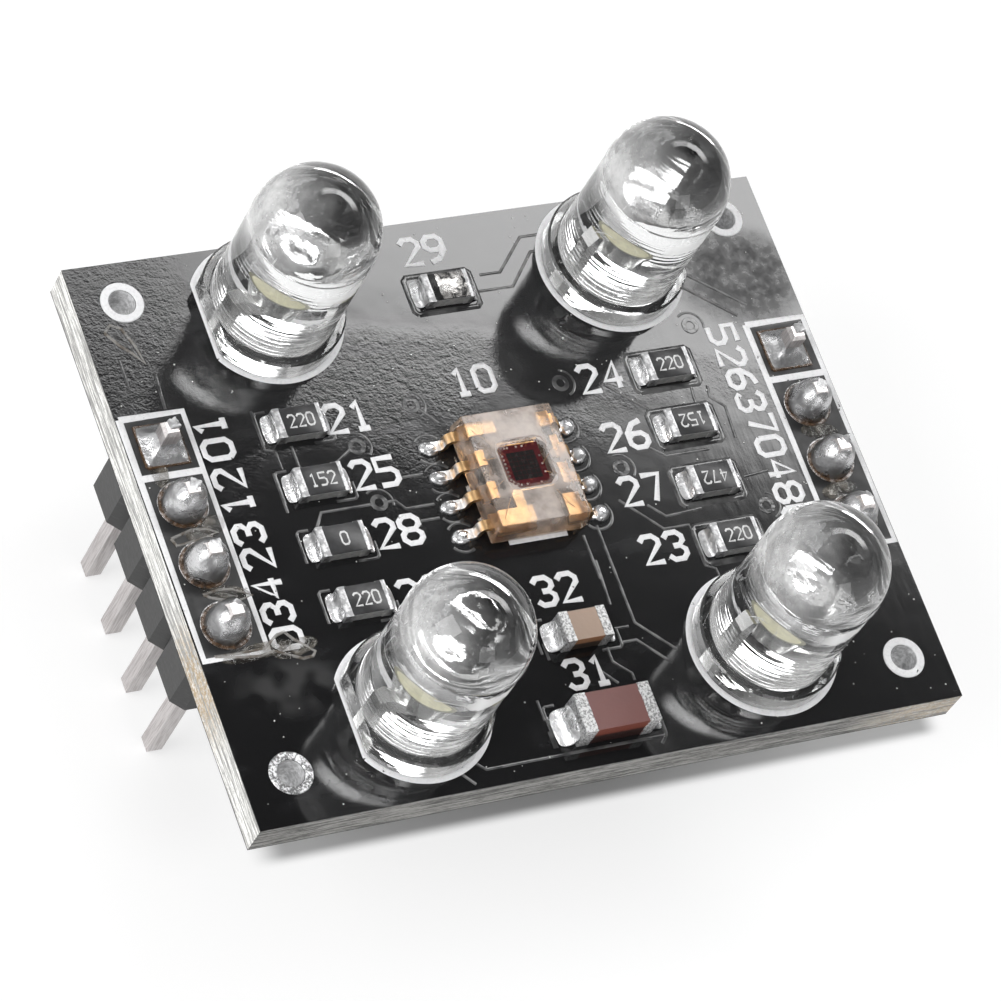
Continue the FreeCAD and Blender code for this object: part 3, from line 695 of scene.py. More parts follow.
def solder_finish(name, color, rough=0.22, grain=0.5, lumps=1.0):
    """Bright solder, a little dull, creased and rippled."""
    made = Finish(name, metallic=1.0)
    place = made.place()
    ripple = made.noise(place, 2.2, 3.0, 0.6)
    fine = made.noise(place, 14.0, 3.0, 0.6)
    dull = made.noise(place, 1.3, 3.0).rise(0.42, 0.62)
    made.set(
        base_color=made.mix(dull, shade(color, 1.0), shade(color, 0.5)),
        roughness=dull * 0.22 + rough + fine * 0.08,
        normal=made.bump(ripple * lumps + fine * (0.3 * grain), 0.09, 0.8),
    )
    return made.material


def speckled_tin_finish():
    """Flat tin with bright and dark specks and a dull edge."""
    made = Finish("speckled_tin", metallic=0.9)
    place = made.place()
    speck = made.noise(place, 9.0, 3.0, 0.7)
    dark = (speck + made.noise(place, 2.0, 2.0) * 0.3).rise(0.55, 0.72)
    made.set(
        base_color=made.mix(dark, shade(colors().solder, 1.1), shade(colors().solder, 0.22)),
        roughness=made.near(0.4, 0.12, place, 5.0),
        normal=made.bump(speck, 0.04, 0.9),
    )
    return made.material


def laminate_tone(made, place, cut, layers):
    """Layers of glass cloth in the cut edge, with fibres and stains, painted shade that darkens the
    front-facing edge, and the dark line of the mask.
    """
    pale = colors().laminate
    across, _, height = made.parts(place)
    _, behind, _ = made.facing()
    front = (-behind).rise(0.5, 0.8)
    end = (across - 9.5).rise(0, 4)
    fibres = made.noise(made.stretch(place, (1.4, 1.4, 14.0)), 2.4, 4.0, 0.75)
    tone = made.mix(layers.rise(0.4, 0.6), shade(pale, 0.5), shade(pale, 1.45))
    tone = made.mix(fibres.rise(0.5, 0.62) * 0.75, tone, shade(pale, 0.3))
    # Painted shade: the front-facing cut edge gets a darker copy of the cloth tones, less so at the right
    # end.
    cloth = (fibres * 0.5 + layers * 0.5).rise(0.42, 0.58)
    painted_shade_cloth = made.mix(cloth, (0.055, 0.055, 0.052), (0.31, 0.305, 0.29))
    tone = made.mix(front * (1 - end * 0.75) * 0.9, tone, painted_shade_cloth)

    stained = 1 - made.distance(place, (-14.9, -5.4, UNDER + 0.7)).rise(0.6, 3.2)
    stained = stained.most(end * front * 0.7)
    tone = made.mix(stained * (cut + layers - 0.55).rise(0.3, 0.6) * 0.85, tone, (0.36, 0.24, 0.1))
    skin = (height - (TOP - 0.06) + (cut - 0.5) * 0.06).rise(0, 0.012)
    skin = skin.most((UNDER + 0.06 - height + (cut - 0.5) * 0.05).rise(0, 0.02))
    return made.mix(skin, tone, colors().mask)


def mask_tone(made, place, soft):
    """Black mask with smudges and a thin film of flux beside the left pads."""
    black = colors().mask
    smudge = made.noise(made.stretch(place, (0.5, 1, 1)), 0.5, 4.0, 0.6).rise(0.5, 0.75)
    tone = made.mix(smudge, black, shade(black, 2.6))
    film = 1 - made.distance(made.stretch(place, (0.5, 1, 0)), (-5.8, -6.5, 0)).rise(0.5, 1.5)
    return made.mix(film * soft.rise(0.35, 0.6) * 0.6, tone, (0.07, 0.07, 0.07))


def mask_grain(made, place, soft):
    """How the mask waves and how dull it is: smooth in front, grainy over copper and worn by the headers."""
    across, back, _ = made.parts(place)
    broad = made.noise(place, 0.16, 2.0, 0.5)
    grainy = (back * 0.12 + (broad - 0.5) * 2.4).rise(-0.1, 0.6)
    grainy = grainy * (1 - (back + across * 0.25 + broad * 3).rise(7.6, 8.6))
    corner = (-across - 9.5).rise(0, 2) * (back - 4.0).rise(0, 2)
    spot = made.distance(made.stretch(place, (0.8, 1, 0)), (10.2, 7.4, 0))
    mottled = 1 - (spot + broad * 1.5).rise(1.6, 3.4)
    grainy = grainy.most(corner * 0.85).most(mottled * 1.6)

    wrinkle = made.noise(place, 4.6, 3.0, 0.6)
    sparkle = made.noise(place, 12.0, 2.0, 0.6)
    stripes = made.noise(made.stretch(place, (1.6, 0.3, 1)), 2.2, 2.0) * (across - 6.0).rise(0, 3) * 0.05
    peel = (wrinkle * 0.9 + sparkle * 0.55) * (grainy * 0.17 + 0.008) + soft * 0.1 + stripes

    leather = made.noise(place, 2.3, 4.0, 0.68).rise(0.25, 0.75)
    framed = (1 - abs(abs(across) - 13.44).rise(1.15, 1.4)) * (1 - abs(back - 0.15).rise(4.8, 5.1))
    dull = (mottled * (leather * 0.55 + 0.3)).most(framed * (0.6 + leather * 0.4))
    return peel, dull


def board_finish():
    """Glossy black mask over copper, pale laminate on the cut edges and tin in the holes."""
    made = Finish("board_mask_and_laminate", coat_weight=0.0)
    place = made.place()
    across, back, _ = made.parts(place)
    _, _, above = made.facing()
    flat = abs(above).rise(0.6, 0.8)
    layers = made.noise(made.stretch(place, (0.35, 0.35, 6.0)), 1.6, 4.0, 0.65)
    cut = made.noise(place, 6.0, 4.0, 0.7)
    soft = made.noise(place, 0.8, 1.0)

    # Tin where a wall belongs to a hole and not to the board's edge
    edge_x = (abs(across) - (BOARD_HIGH.x - 0.05)).rise(0, 0.04)
    edge_y = (abs(back) - (BOARD_HIGH.y - 0.05)).rise(0, 0.04)
    bore = (1 - edge_x.most(edge_y)) * (1 - flat)

    tin = made.mix(cut.rise(0.35, 0.65), shade(colors().solder, 0.95), shade(colors().solder, 0.5))
    side = made.mix(bore, laminate_tone(made, place, cut, layers), tin)
    peel, dull = mask_grain(made, place, soft)
    side_rough = made.mix(bore, (0.8, 0.8, 0.8), (0.35, 0.35, 0.35))
    mask_rough = made.mix(dull, (0.07, 0.07, 0.07), (0.6, 0.6, 0.6))
    rough_edge = (cut + layers) * 2.0
    made.set(
        base_color=made.mix(flat, side, mask_tone(made, place, soft)),
        metallic=bore * 0.15,
        roughness=made.mix(flat, side_rough, mask_rough),
        normal=made.bump(peel * flat + rough_edge * (1 - flat) * (1 - bore), 0.022, 1.0),
    )
    return made.material


def ridge_finish():
    """The same mask where it climbs over copper."""
    made = Finish("mask_over_copper")
    place = made.place()
    made.set(
        base_color=made.mix(made.noise(place, 1.5).rise(0.35, 0.65), (0.03, 0.03, 0.031), (0.1, 0.1, 0.1)),
        roughness=made.near(0.1, 0.05, place, 3.0),
        normal=made.bump(made.noise(place, 6.0), 0.006, 0.6),
    )
    return made.material


def print_finish():
    """White ink, a little uneven and worn through in places."""
    made = Finish("white_print", specular_ior_level=0.35)
    white = colors().print_white
    place = made.place()
    grain = made.noise(place, 9.0, 4.0, 0.65)
    worn = made.noise(place, 2.6, 4.0, 0.7)
    left_worn = made.noise(place, 1.2, 2.0)
    made.set(
        base_color=made.mix(grain.rise(0.45, 0.75) * 0.35, white, shade(white, 0.55)),
        roughness=made.near(0.5, 0.12, place, 5.0),
        alpha=1 - (worn + left_worn * 0.35).rise(0.86, 0.9),
        normal=made.bump(grain, 0.012, 0.8),
    )
    return made.material


def lens_haze_and_painted_highlights(made, place, level, scratches):
    """How much white veil covers a clear lens: painted reflections on the dome's left, painted highlights on
    its rim, painted reflections in a belt and swirls in front, and haze patches, specks and scratches.
    """
    lit, behind, above = made.facing()
    patches = made.noise(place, 0.55, 5.0, 0.7).rise(0.35, 0.7)
    specks = made.noise(place, 7.0, 3.0, 0.6).rise(0.68, 0.74)
    dome = level.rise(4.4, 6.2)
    # Painted reflection: white veil on the dome's left where a bright window reflects, and a painted
    # highlight on the rim facing back and up.
    left = (behind * 0.36 - lit * 0.93).rise(-0.1, 0.85)
    rim = (behind * 0.66 + lit * 0.6).rise(0.45, 0.95) * above.rise(0.0, 0.3)
    part = ((patches * 0.6 + 0.5) * (left + rim * 0.9) + patches * 0.12) * dome * 0.36
    part = part + specks * 0.25 * (left + 0.3) + scratches * 0.2

    # Painted reflections: a white belt and swirls over the front of the lens.
    front = (lit * 0.55 - behind * 0.83).rise(0.5, 0.85)
    ragged = level + made.noise(made.stretch(place, (0.9, 0.9, 1.8)), 0.9, 4.0, 0.7, 1.2) * 1.8
    belt = ragged.rise(5.35, 5.6) * (1 - ragged.rise(6.2, 6.5))
    swirls = made.noise(made.stretch(place, (0.4, 0.4, 2.6)), 1.5, 3.0, 0.6, 1.1).rise(0.52, 0.58)
    low = level.rise(1.2, 1.8) * (1 - level.rise(3.2, 4.4))
    return part.most(front * belt * 0.55).most(front * low * swirls * 0.5)


def lens_finish():
    """Clear epoxy with the slight waves of its mould and fine scratches, under a patchy white veil that glows
    a little: painted reflections and highlights, partly haze.
    """
    made = Finish("clear_led_epoxy_with_painted_glow", transmission_weight=1.0, ior=1.5, base_color=(0.985, 0.99, 0.99))
    place = made.place()
    _, _, height = made.parts(place)
    level = height - TOP
    slow = made.noise(place, 0.55, 2.0)
    fine = made.noise(place, 3.5, 2.0)
    scratches = made.noise(made.stretch(place, (5, 5, 0.7)), 1.6, 3.0, 0.6, 0.4).rise(0.66, 0.7)
    streaks = made.noise(made.stretch(place, (0.5, 0.5, 4.2)), 1.7) * 0.9 * (1 - level.rise(2.4, 4.2))
    made.set(
        roughness=scratches * 0.05,
        normal=made.bump(slow + fine * 0.08 + streaks, 0.015, 0.6),
    )
    # The veil is white diffuse with a faint emission: a painted glow under the painted reflections and
    # highlights.
    white = made.add("ShaderNodeBsdfDiffuse", None, {"Color": (0.9, 0.9, 0.9)})
    light = made.add("ShaderNodeEmission", None, {"Color": (1, 1, 1), "Strength": 0.28})
    veil = made.add("ShaderNodeAddShader", None, {0: white, 1: light})
    made.blend(veil, lens_haze_and_painted_highlights(made, place, level, scratches))
    return made.material


def phosphor_finish():
    """Pale yellow fill with a fine grain."""
    made = Finish("pale_phosphor", specular_ior_level=0.2)
    yellow = colors().phosphor
    place = made.place()
    grain = made.noise(place, 9.0, 4.0, 0.6)
    made.set(
        base_color=made.mix(grain.rise(0.3, 0.7), shade(yellow, 0.9), shade(yellow, 1.08)),
        roughness=grain * 0.2 + 0.45,
        normal=made.bump(grain, 0.01, 0.5),
    )
    return made.material


def lead_finish():
    """Stamped and plated metal with fine draw lines."""
    made = Finish("plated_led_leads", metallic=1.0)
    place = made.place()
    lines = made.noise(made.stretch(place, (6, 6, 0.8)), 2.0, 3.0, 0.6)
    patch = made.noise(place, 1.6, 2.0)
    _, _, height = made.parts(place)
    _, _, above = made.facing()
    lip = (height - TOP).rise(2.9, 2.98) * above.rise(0.3, 0.6)
    stamped = made.mix(patch.rise(0.4, 0.7) * 0.5, colors().lead, shade(colors().lead, 0.75))
    made.set(
        base_color=made.mix(lip, stamped, shade(colors().phosphor, 0.45)),
        metallic=1 - lip,
        roughness=(lines * 0.15 + 0.16).most(lip * 0.6),
        normal=made.bump(lines, 0.01, 0.6),
    )
    return made.material


def pin_finish():
    """Tinned square wire, brushed along its length, pinkish and dark at the cut tips."""
    made = Finish("tinned_pins", metallic=1.0)
    place = made.place()
    _, _, height = made.parts(place)
    lines = made.noise(made.stretch(place, (9, 9, 0.5)), 2.0, 3.0, 0.6)
    tip = 1 - (height + lines * 0.3).rise(0.25, 0.5)
    bright = made.mix(lines.rise(0.4, 0.65) * 0.7, (0.8, 0.765, 0.76), (0.52, 0.48, 0.47))
    made.set(
        base_color=made.mix(tip * 0.7, bright, (0.3, 0.25, 0.23)),
        roughness=made.near(0.34, 0.08, place, 2.0),
        normal=made.bump(lines, 0.012, 0.8),
    )
    return made.material


def frame_finish():
    """Gold plating inside the clear case that turns to tin at the feet."""
    made = Finish("gold_and_tin_frame", metallic=1.0)
    place = made.place(SENSOR)
    across, _, _ = made.parts(place)
    patch = made.noise(place, 2.4, 3.0)
    fine = made.noise(place, 12.0, 2.0)
    tinned = (abs(across) + patch * 0.5 - 0.25).rise(2.35, 2.6)
    gold = made.mix(patch.rise(0.4, 0.65), colors().gold, shade(colors().gold, 0.8))
    made.set(
        base_color=made.mix(tinned, gold, (0.84, 0.84, 0.85)),
        roughness=fine * 0.14 + tinned * 0.1 + 0.24,
        normal=made.bump(patch + fine * 0.25, 0.03, 0.5),
    )
    return made.material


def case_finish():
    """Slightly milky clear body, clear in the eight-sided window over the chip and warm at its sides."""
    made = Finish("milky_clear_case", transmission_weight=1.0, ior=1.42, specular_ior_level=0.12)
    place = made.place(SENSOR)
    chip = middle_mm("sensor_chip") - SENSOR
    across, back, _ = made.parts(place)
    _, _, above = made.facing()
    top = above.rise(0.6, 0.9)
    clouds = made.noise(place, 1.1, 3.0, 0.6)
    x, y = (abs(part - middle + WINDOW_SHIFT) / WINDOW for part, middle in ((across, chip.x), (back, chip.y)))
    octagon = x.most(y).most((x + y) * 0.62)
    milky = octagon.rise(0.95, 1.0).most(octagon.rise(0.78, 0.9) * 0.5)
    warm = (abs(across) - 1.1).rise(0, 0.5) * clouds.rise(0.3, 0.55)
    made.set(
        base_color=made.mix(warm, (0.97, 0.92, 0.9), (1.0, 0.78, 0.55)),
        roughness=clouds * 0.1 * milky + 0.02,
        normal=made.bump(clouds, 0.03, 0.5),
    )

    ends = (-back - 0.9).rise(0, 0.5) * (abs(across) - 0.5).rise(0, 0.4)
    sides = (abs(across) - 1.05).rise(0, 0.3) * (1 - (clouds - 0.1).rise(0.35, 0.5) * 0.6)
    flat_place = made.stretch(place, (1, 1, 0))
    bubble = 1 - made.distance(flat_place, (chip.x + 1.13, chip.y + 0.1, 0)).rise(0.1, 0.26)
    haze = (clouds.rise(0.3, 0.7) * 0.34 + top * 0.26 + 0.06) * (1 - ends.most(sides) * 0.6) + bubble * 0.4
    veil = made.add("ShaderNodeBsdfDiffuse", None, {"Color": (0.68, 0.6, 0.55)})
    made.blend(veil, milky * haze)
    window = made.add("ShaderNodeBsdfTransparent", None, {"Color": (0.93, 0.86, 0.86)})
    made.blend(window, (1 - milky) * top)
    return made.material


def window_rim_highlight_finish():
    """Pale glossy rim of the sensor's window, whose pale colour is a painted highlight along the window's
    edge.
    """
    made = Finish("window_rim_painted_highlight", roughness=0.12, ior=1.5)
    place = made.place()
    worn = made.noise(place, 2.2, 3.0, 0.6)
    made.set(
        base_color=made.mix(worn.rise(0.35, 0.65), (0.85, 0.8, 0.78), (0.5, 0.42, 0.38)),
        alpha=worn.rise(0.3, 0.7) * 0.35 + 0.3,
        normal=made.bump(worn, 0.02, 0.6),
    )
    return made.material


def chip_finish():
    """Dark red chip with a grid of near-black light-sensitive squares and pale bond pads round it."""
    made = Finish("sensor_chip_grid", roughness=0.3, specular_ior_level=0.1)
    place = made.place(middle_mm("sensor_chip"))
    across, back, _ = made.parts(place)
    inner = 1 - (abs(across - 0.02) / 0.6).most(abs(back) / 0.6).rise(0.98, 1.0)
    # The shift is a whole number of pitches and keeps the wave's input over zero
    pitch, shift = 0.2, 10.0
    line_x, line_y = (1 - (part + shift).wave(pitch).rise(0.012, 0.022) for part in (across, back))
    lines = line_x.most(line_y)
    metal = made.noise(place, 6.0, 3.0).rise(0.55, 0.68)
    border = made.mix(metal * 0.5, colors().die, (0.42, 0.12, 0.07))
    cells = made.mix(metal, (0.016, 0.019, 0.019), (0.045, 0.05, 0.048))
    squares = made.mix(line_x * 0.45 + line_y * 0.5, cells, (0.06, 0.012, 0.018))
    made.set(
        base_color=made.mix(inner, border, squares),
        roughness=inner * 0.08 + 0.3,
        normal=made.bump(lines * inner + metal * 0.3, 0.004, 0.5),
    )
    return made.material


def resistor_finish(node):
    """Ceramic body with a black glazed top between tinned ends."""
    made = Finish(f"finish_{node}")
    place = made.place(middle_mm(node))
    across, _, _ = made.parts(place)
    _, _, above = made.facing()
    ragged = made.noise(place, 6.0, 3.0)
    ends = (abs(across - 0.05) + (ragged - 0.5) * 0.07).rise(0.73, 0.75)
    top = above.rise(0.5, 0.8)
    ceramic = made.mix(ragged.rise(0.3, 0.7), (0.24, 0.24, 0.24), (0.38, 0.38, 0.37))
    body = made.mix(top, ceramic, (0.02, 0.02, 0.022))
    tin = made.mix(ragged.rise(0.35, 0.6), shade(colors().solder, 0.8), shade(colors().solder, 0.4))
    made.set(
        base_color=made.mix(ends, body, tin),
        metallic=ends,
        roughness=ends * 0.14 + 0.28 + ragged * 0.16,
        normal=made.bump(ragged, 0.02, 0.6),
    )
    return made.material


def capacitor_finish(node, color, ends_from, tip):
    """Ceramic block with speckled metal ends; its front face is painted as a warmer lit strip, with painted
    shade darkening its lower edge up to the tip's height.
    """
    made = Finish(f"finish_{node}")
    place = made.place(middle_mm(node))
    across, _, height = made.parts(place)
    ragged = made.noise(place, 5.0, 3.0)
    speck = made.noise(place, 11.0, 2.0, 0.7)
    ends = (abs(across) + (ragged - 0.5) * 0.12).rise(ends_from, ends_from + 0.03)
    _, behind, _ = made.facing()
    # Painted light: the front face is a warmer lit copy of the ceramic, and its lower part is painted shade
    # that runs dark into the board.
    side = (-behind).rise(0.5, 0.8)
    deep = (tip * 0.42 - height + (ragged - 0.5) * 0.12).rise(0.1, tip * 0.5)
    layered = made.noise(made.stretch(place, (0.3, 0.3, 12.0)), 1.5, 2.0)
    body = made.mix(layered.rise(0.4, 0.65) * 0.4, color, shade(color, 0.8))
    warm = made.mix(deep, (color[0] * 1.1, color[1] * 0.75, color[2] * 0.5), shade(color, 0.16))
    body = made.mix(side, body, warm)
    tin = made.mix(speck.rise(0.45, 0.6), (0.72, 0.72, 0.72), (0.3, 0.3, 0.3))
    made.set(
        base_color=made.mix(ends, body, tin),
        metallic=ends * 0.85,
        roughness=ends * 0.15 + 0.36 + ragged * 0.14,
        normal=made.bump(speck * ends + ragged * 0.3, 0.03, 0.7),
    )
    return made.material


def glaze_finish():
    """Dark glaze on top of a resistor."""
    made = Finish("dark_resistor_glaze")
    place = made.place()
    cloud = made.noise(place, 2.5, 3.0)
    made.set(
        base_color=made.mix(cloud.rise(0.35, 0.7), (0.014, 0.014, 0.015), (0.03, 0.03, 0.032)),
        roughness=made.near(0.34, 0.08, place, 4.0),
        normal=made.bump(cloud, 0.02, 0.4),
    )
    return made.material


def smeared_finish():
    """Bright metal smeared over a chip's dark top, with bare patches."""
    made = Finish("smeared_chip_top", metallic=0.75)
    place = made.place(middle_mm("resistor_back"))
    across, _, _ = made.parts(place)
    blots = made.noise(place, 2.4, 4.0, 0.65, 0.6)
    bare = (-across - 0.35).rise(0, 0.15) * 0.5 - (-across - 0.62).rise(0, 0.1) * 0.5
    metal = made.mix(blots.rise(0.3, 0.55), (0.66, 0.65, 0.64), (0.3, 0.29, 0.28))
    made.set(
        base_color=made.mix((blots + bare).rise(0.53, 0.64), metal, (0.02, 0.02, 0.02)),
        roughness=blots * 0.3 + 0.12,
        normal=made.bump(blots, 0.03, 0.8),
    )
    return made.material


def code_finish():
    """Grey-white printed code."""
    made = Finish("printed_code", specular_ior_level=0.3)
    place = made.place()
    grain = made.noise(place, 10.0, 3.0)
    made.set(
        base_color=made.mix(grain.rise(0.4, 0.7), (0.7, 0.7, 0.7), (0.5, 0.5, 0.5)),
        roughness=grain * 0.2 + 0.4,
    )
    return made.material


def plastic_finish():
    """Satin black moulded plastic."""
    made = Finish("header_plastic_satin")
    place = made.place()
    grain = made.noise(place, 6.0, 3.0)
    scuffs = made.noise(made.stretch(place, (1, 1, 6)), 1.5, 3.0).rise(0.58, 0.7)
    made.set(
        base_color=made.mix(scuffs * 0.6, colors().plastic, shade(colors().plastic, 2.0)),
        roughness=grain * 0.12 + 0.38,
        normal=made.bump(grain, 0.012, 0.6),
    )
    return made.material


def flux_finish():
    """Dried clear flux, faintly brown and glossy."""
    made = Finish("dried_flux", roughness=0.06, ior=1.55)
    place = made.place()
    cloud = made.noise(place, 2.0, 3.0, 0.6)
    made.set(
        base_color=made.mix(cloud.rise(0.45, 0.7), (0.03, 0.026, 0.02), (0.2, 0.18, 0.15)),
        alpha=cloud.rise(0.35, 0.7) * 0.35 + 0.2,
        normal=made.bump(cloud, 0.12, 1.0),
    )
    return made.material


def loop_finish():
    """Raised glassy edge of dried flux."""
    made = Finish("glassy_flux_edge", roughness=0.05, ior=1.55)
    place = made.place()
    cloud = made.noise(place, 2.4, 3.0, 0.6)
    made.set(
        base_color=made.mix(cloud.rise(0.4, 0.65), (0.5, 0.49, 0.47), (0.12, 0.1, 0.08)),
        alpha=cloud.rise(0.3, 0.7) * 0.5 + 0.35,
        normal=made.bump(cloud, 0.03, 0.8),
    )
    return made.material


def brown_flux_finish():
    """Browned flux round a pin joint."""
    made = Finish("browned_flux", ior=1.5)
    place = made.place()
    cloud = made.noise(place, 3.0, 3.0, 0.6)
    made.set(
        base_color=made.mix(cloud.rise(0.4, 0.65), (0.15, 0.075, 0.028), (0.03, 0.02, 0.014)),
        roughness=made.near(0.2, 0.08, place, 4.0),
        alpha=cloud.rise(0.3, 0.6) * 0.7 + 0.25,
        normal=made.bump(cloud, 0.03, 0.8),
    )
    return made.material


def dust_finish():
    """Pale dust."""
    made = Finish("pale_dust", roughness=0.9)
    place = made.place()
    made.set(base_color=made.mix(made.noise(place, 3.0), (0.75, 0.75, 0.74), (0.5, 0.5, 0.48)))
    return made.material


class MODULE_OT_board(bpy.types.Operator):
    """Finishes the board and adds the tin rings of its corner holes and its pin pads"""

    bl_idname = "module.board"
    bl_label = "Board"

    def execute(self, context):
        dress("circuit_board", board_finish())
        tin = speckled_tin_finish()
        first = ring("corner_ring", *CORNER_RING, 0.045)
        rings = [copy_of(first, "corner_ring_copy", (x, y, TOP)) for x, y in CORNER_HOLES]
        finish(rings.pop(0), tin).name = "tinned_corner_ring"
        finish(join("corner_hole_rings", rings), print_finish())

        round_pad = ring("pad", *PIN_PAD, 0.04, 48)
        pads = []
        for side in SIDES:
            back_pin, *others = PIN_ROWS[side]
            pads += [copy_of(round_pad, "pad_copy", (pin.x, pin.y, TOP)) for pin in others]
            square = block("square_pad", (SQUARE_PAD, SQUARE_PAD, 0.04), (back_pin.x, back_pin.y, TOP + 0.02))
            soften(square, 0.03)
            pads.append(square)
        discard(first, round_pad)
        finish(join("header_pads", pads), tin)
        return {"FINISHED"}


def frame_line(low, high, reach, side):
    """Bent lines of mask round a chip's pads: the left one's back corner and the right one's front."""
    mid = (low + high) / 2
    half = (high.x - low.x) / 2
    deep = (high.y - low.y) / 2 + side
    left, right = mid.x - half - reach, mid.x + half + reach * 0.8
    back, front = mid.y + deep, mid.y - deep
    return [
        [(left + 0.5, back), (left + 0.1, back), (left, back - 0.1), (left, mid.y - deep * 0.7)],
        [(right, mid.y - deep * 0.1), (right, front + 0.1), (right - 0.1, front), (right - 0.9, front)],
    ]


def soft_frame(low, high):
    """A closed line with cut corners round a chip and its pads."""
    left, right, front, back = low.x - 0.5, high.x + 0.34, low.y - 0.2, high.y + 0.2
    cut = 0.15
    line = [(left + cut, front), (right - cut, front), (right, front + cut), (right, back - cut),
            (right - cut, back), (left + cut, back), (left, back - cut), (left, front + cut)]
    return [line + line[:1]]


def sensor_feet():
    """The middle of each foot of the sensor on its pad."""
    feet = []
    for number, back in enumerate(FEET_BACK, 1):
        low, high = box_mm(f"sensor_lead_{number}")
        across = low.x + 0.22 if number <= 4 else high.x - 0.22
        feet.append(Vector((across, back, TOP)))
    return feet


def foot_halo(foot):
    """Two arcs of mask round the pad of a foot."""
    arms = (arc(FOOT_HALO, 40, 140, 10) if foot.x < SENSOR.x else arc(FOOT_HALO, -140, 40, 16),
            arc(FOOT_HALO, 215, 300, 9))
    return [[(foot.x + x, foot.y + y) for x, y in arm] for arm in arms]


class MODULE_OT_copper(bpy.types.Operator):
    """Raises the traces and vias under the mask"""

    bl_idname = "module.copper"
    bl_label = "Copper under the mask"

    def execute(self, context):
        width = sizes().trace_line * METRE
        rise = sizes().trace_rise * METRE
        pieces = [strip("trace_lines", TRACES, width, rise, TOP)]
        via = ring("via", *VIA_RING, 0.03, 32)
        halo = strip("via_halo", [arc(VIA_HALO, -70, 80, 16)], width * 0.8, rise * 0.7)
        for number, (x, y) in enumerate(VIAS):
            pieces.append(copy_of(via, "via_copy", (x, y, TOP)))
            pieces.append(copy_of(halo, "halo_copy", (x, y, TOP), 25 * (number % 3)))
        discard(via, halo)
        for name in RESISTORS[:4]:
            pieces.append(strip("mask_frame", frame_line(*box_mm(name), 0.52, 0.16), width, rise, TOP))
        for name in RESISTORS[4:]:
            pieces.append(strip("soft_frame", soft_frame(*box_mm(name)), 0.26, 0.03, TOP))
        for name in CAPACITORS:
            pieces.append(strip("mask_frame", frame_line(*box_mm(name), 0.75, 0.2), width, rise, TOP))
        for foot in sensor_feet():
            pieces.append(strip("foot_halo", foot_halo(foot), width, rise, TOP))
        finish(join("traces_and_vias", pieces), ridge_finish())
        return {"FINISHED"}


class MODULE_OT_silk(bpy.types.Operator):
    """Prints the white outlines, frames and plain numbers"""

    bl_idname = "module.silk"
    bl_label = "White print"

    def execute(self, context):
        width = sizes().silk_line * METRE
        rise = sizes().silk_rise * METRE
        base = TOP + PRINT_BASE
        half_flat = math.degrees(math.acos(LED_FLAT / LED_PRINT))
        outline = arc(LED_PRINT, 180 + half_flat, 540 - half_flat, 90)
        circle = strip("led_outline", [outline + outline[:1]], LED_PRINT_LINE, rise * 1.4)
        pieces = []
        for place, led in LEDS.items():
            print_ring = copy_of(circle, "led_outline_copy", (led.x, led.y, base), led_turn(place))
            if led.y > 0:
                cut_off(print_ring, (0, BOARD_HIGH.y - 0.05, 0), (0, 1, 0))
            pieces.append(print_ring)
        discard(circle)

        for side, row in PIN_ROWS.items():
            back, shelf, front = row[0].y + FRAME_PAST, row[0].y - FRAME_PAST, row[3].y - FRAME_PAST
            left, right = row[0].x - FRAME_BESIDE[side][0], row[0].x + FRAME_BESIDE[side][1]
            lines = [
                [(left, back), (right, back), (right, front), (left, front), (left, back)],
                [(left, shelf), (right, shelf)],
            ]
            pieces.append(strip(f"header_outline_{side}", lines, width * 1.5, rise, base))

        bar = block("sensor_bar", (2.5, 0.42, 0.03), (0.02, -2.2, TOP + 0.02))
        soften(bar, 0.01)
        pieces.append(bar)
        pieces.append(lettering("board_numbers", LABELS, 0.212, rise * 1.3, base))
        finish(join("white_print", pieces), print_finish())
        return {"FINISHED"}


def joint_profile(radius, height, top):
    """The side of a solder joint: a bulge that leans in towards the pin's end."""
    shape = [(1.0, 0.0), (1.0, 0.08), (0.97, 0.2), (0.9, 0.36), (0.8, 0.54), (0.68, 0.72), (0.56, 0.86),
             (0.42, 0.96), (0.22, 1.0)]
    points = [(0, 0)]
    for share, level in shape:
        points.append((top + (radius - top) * share if level < 0.8 else radius * share, height * level))
    points.append((0, height))
    return points


def square_joint_shape():
    """A joint on a square pad: ever smaller steps, rounded off."""
    joint = primitive("square_joint", "plane", size=1.74, location=(0, 0, 0.03))
    edit(joint, "FACE")
    bpy.ops.mesh.subdivide(number_cuts=3)
    steps = ((0.05, 0.98), (0.05, 0.86), (0.12, 0.74), (0.2, 0.7), (0.32, 0.66), (0.3, 0.66), (0.1, 0.6))
    for lift, share in steps:
        pull_up(lift)
        bpy.ops.transform.resize(value=(share, share, 1))
    face_outwards()
    leave()
    round_off(joint, 2)
    return joint


def pin_end_shape():
    """The rough cut end of a pin that stands out of its joint."""
    nub = primitive("pin_end", "cube", size=1, location=(0, 0, 0), scale=(0.4, 0.4, 0.34))
    edit(nub)
    bpy.ops.mesh.subdivide(number_cuts=5)
    leave()
    roughen(nub, 0.05, 4, uniform=0.6, normal=0.6)
    round_off(nub, 1)
    return nub


def square_line(middle, half):
    """A closed square line round a point."""
    corners = ((-1, -1), (1, -1), (1, 1), (-1, 1), (-1, -1))
    return [(middle.x + half * x, middle.y + half * y) for x, y in corners]


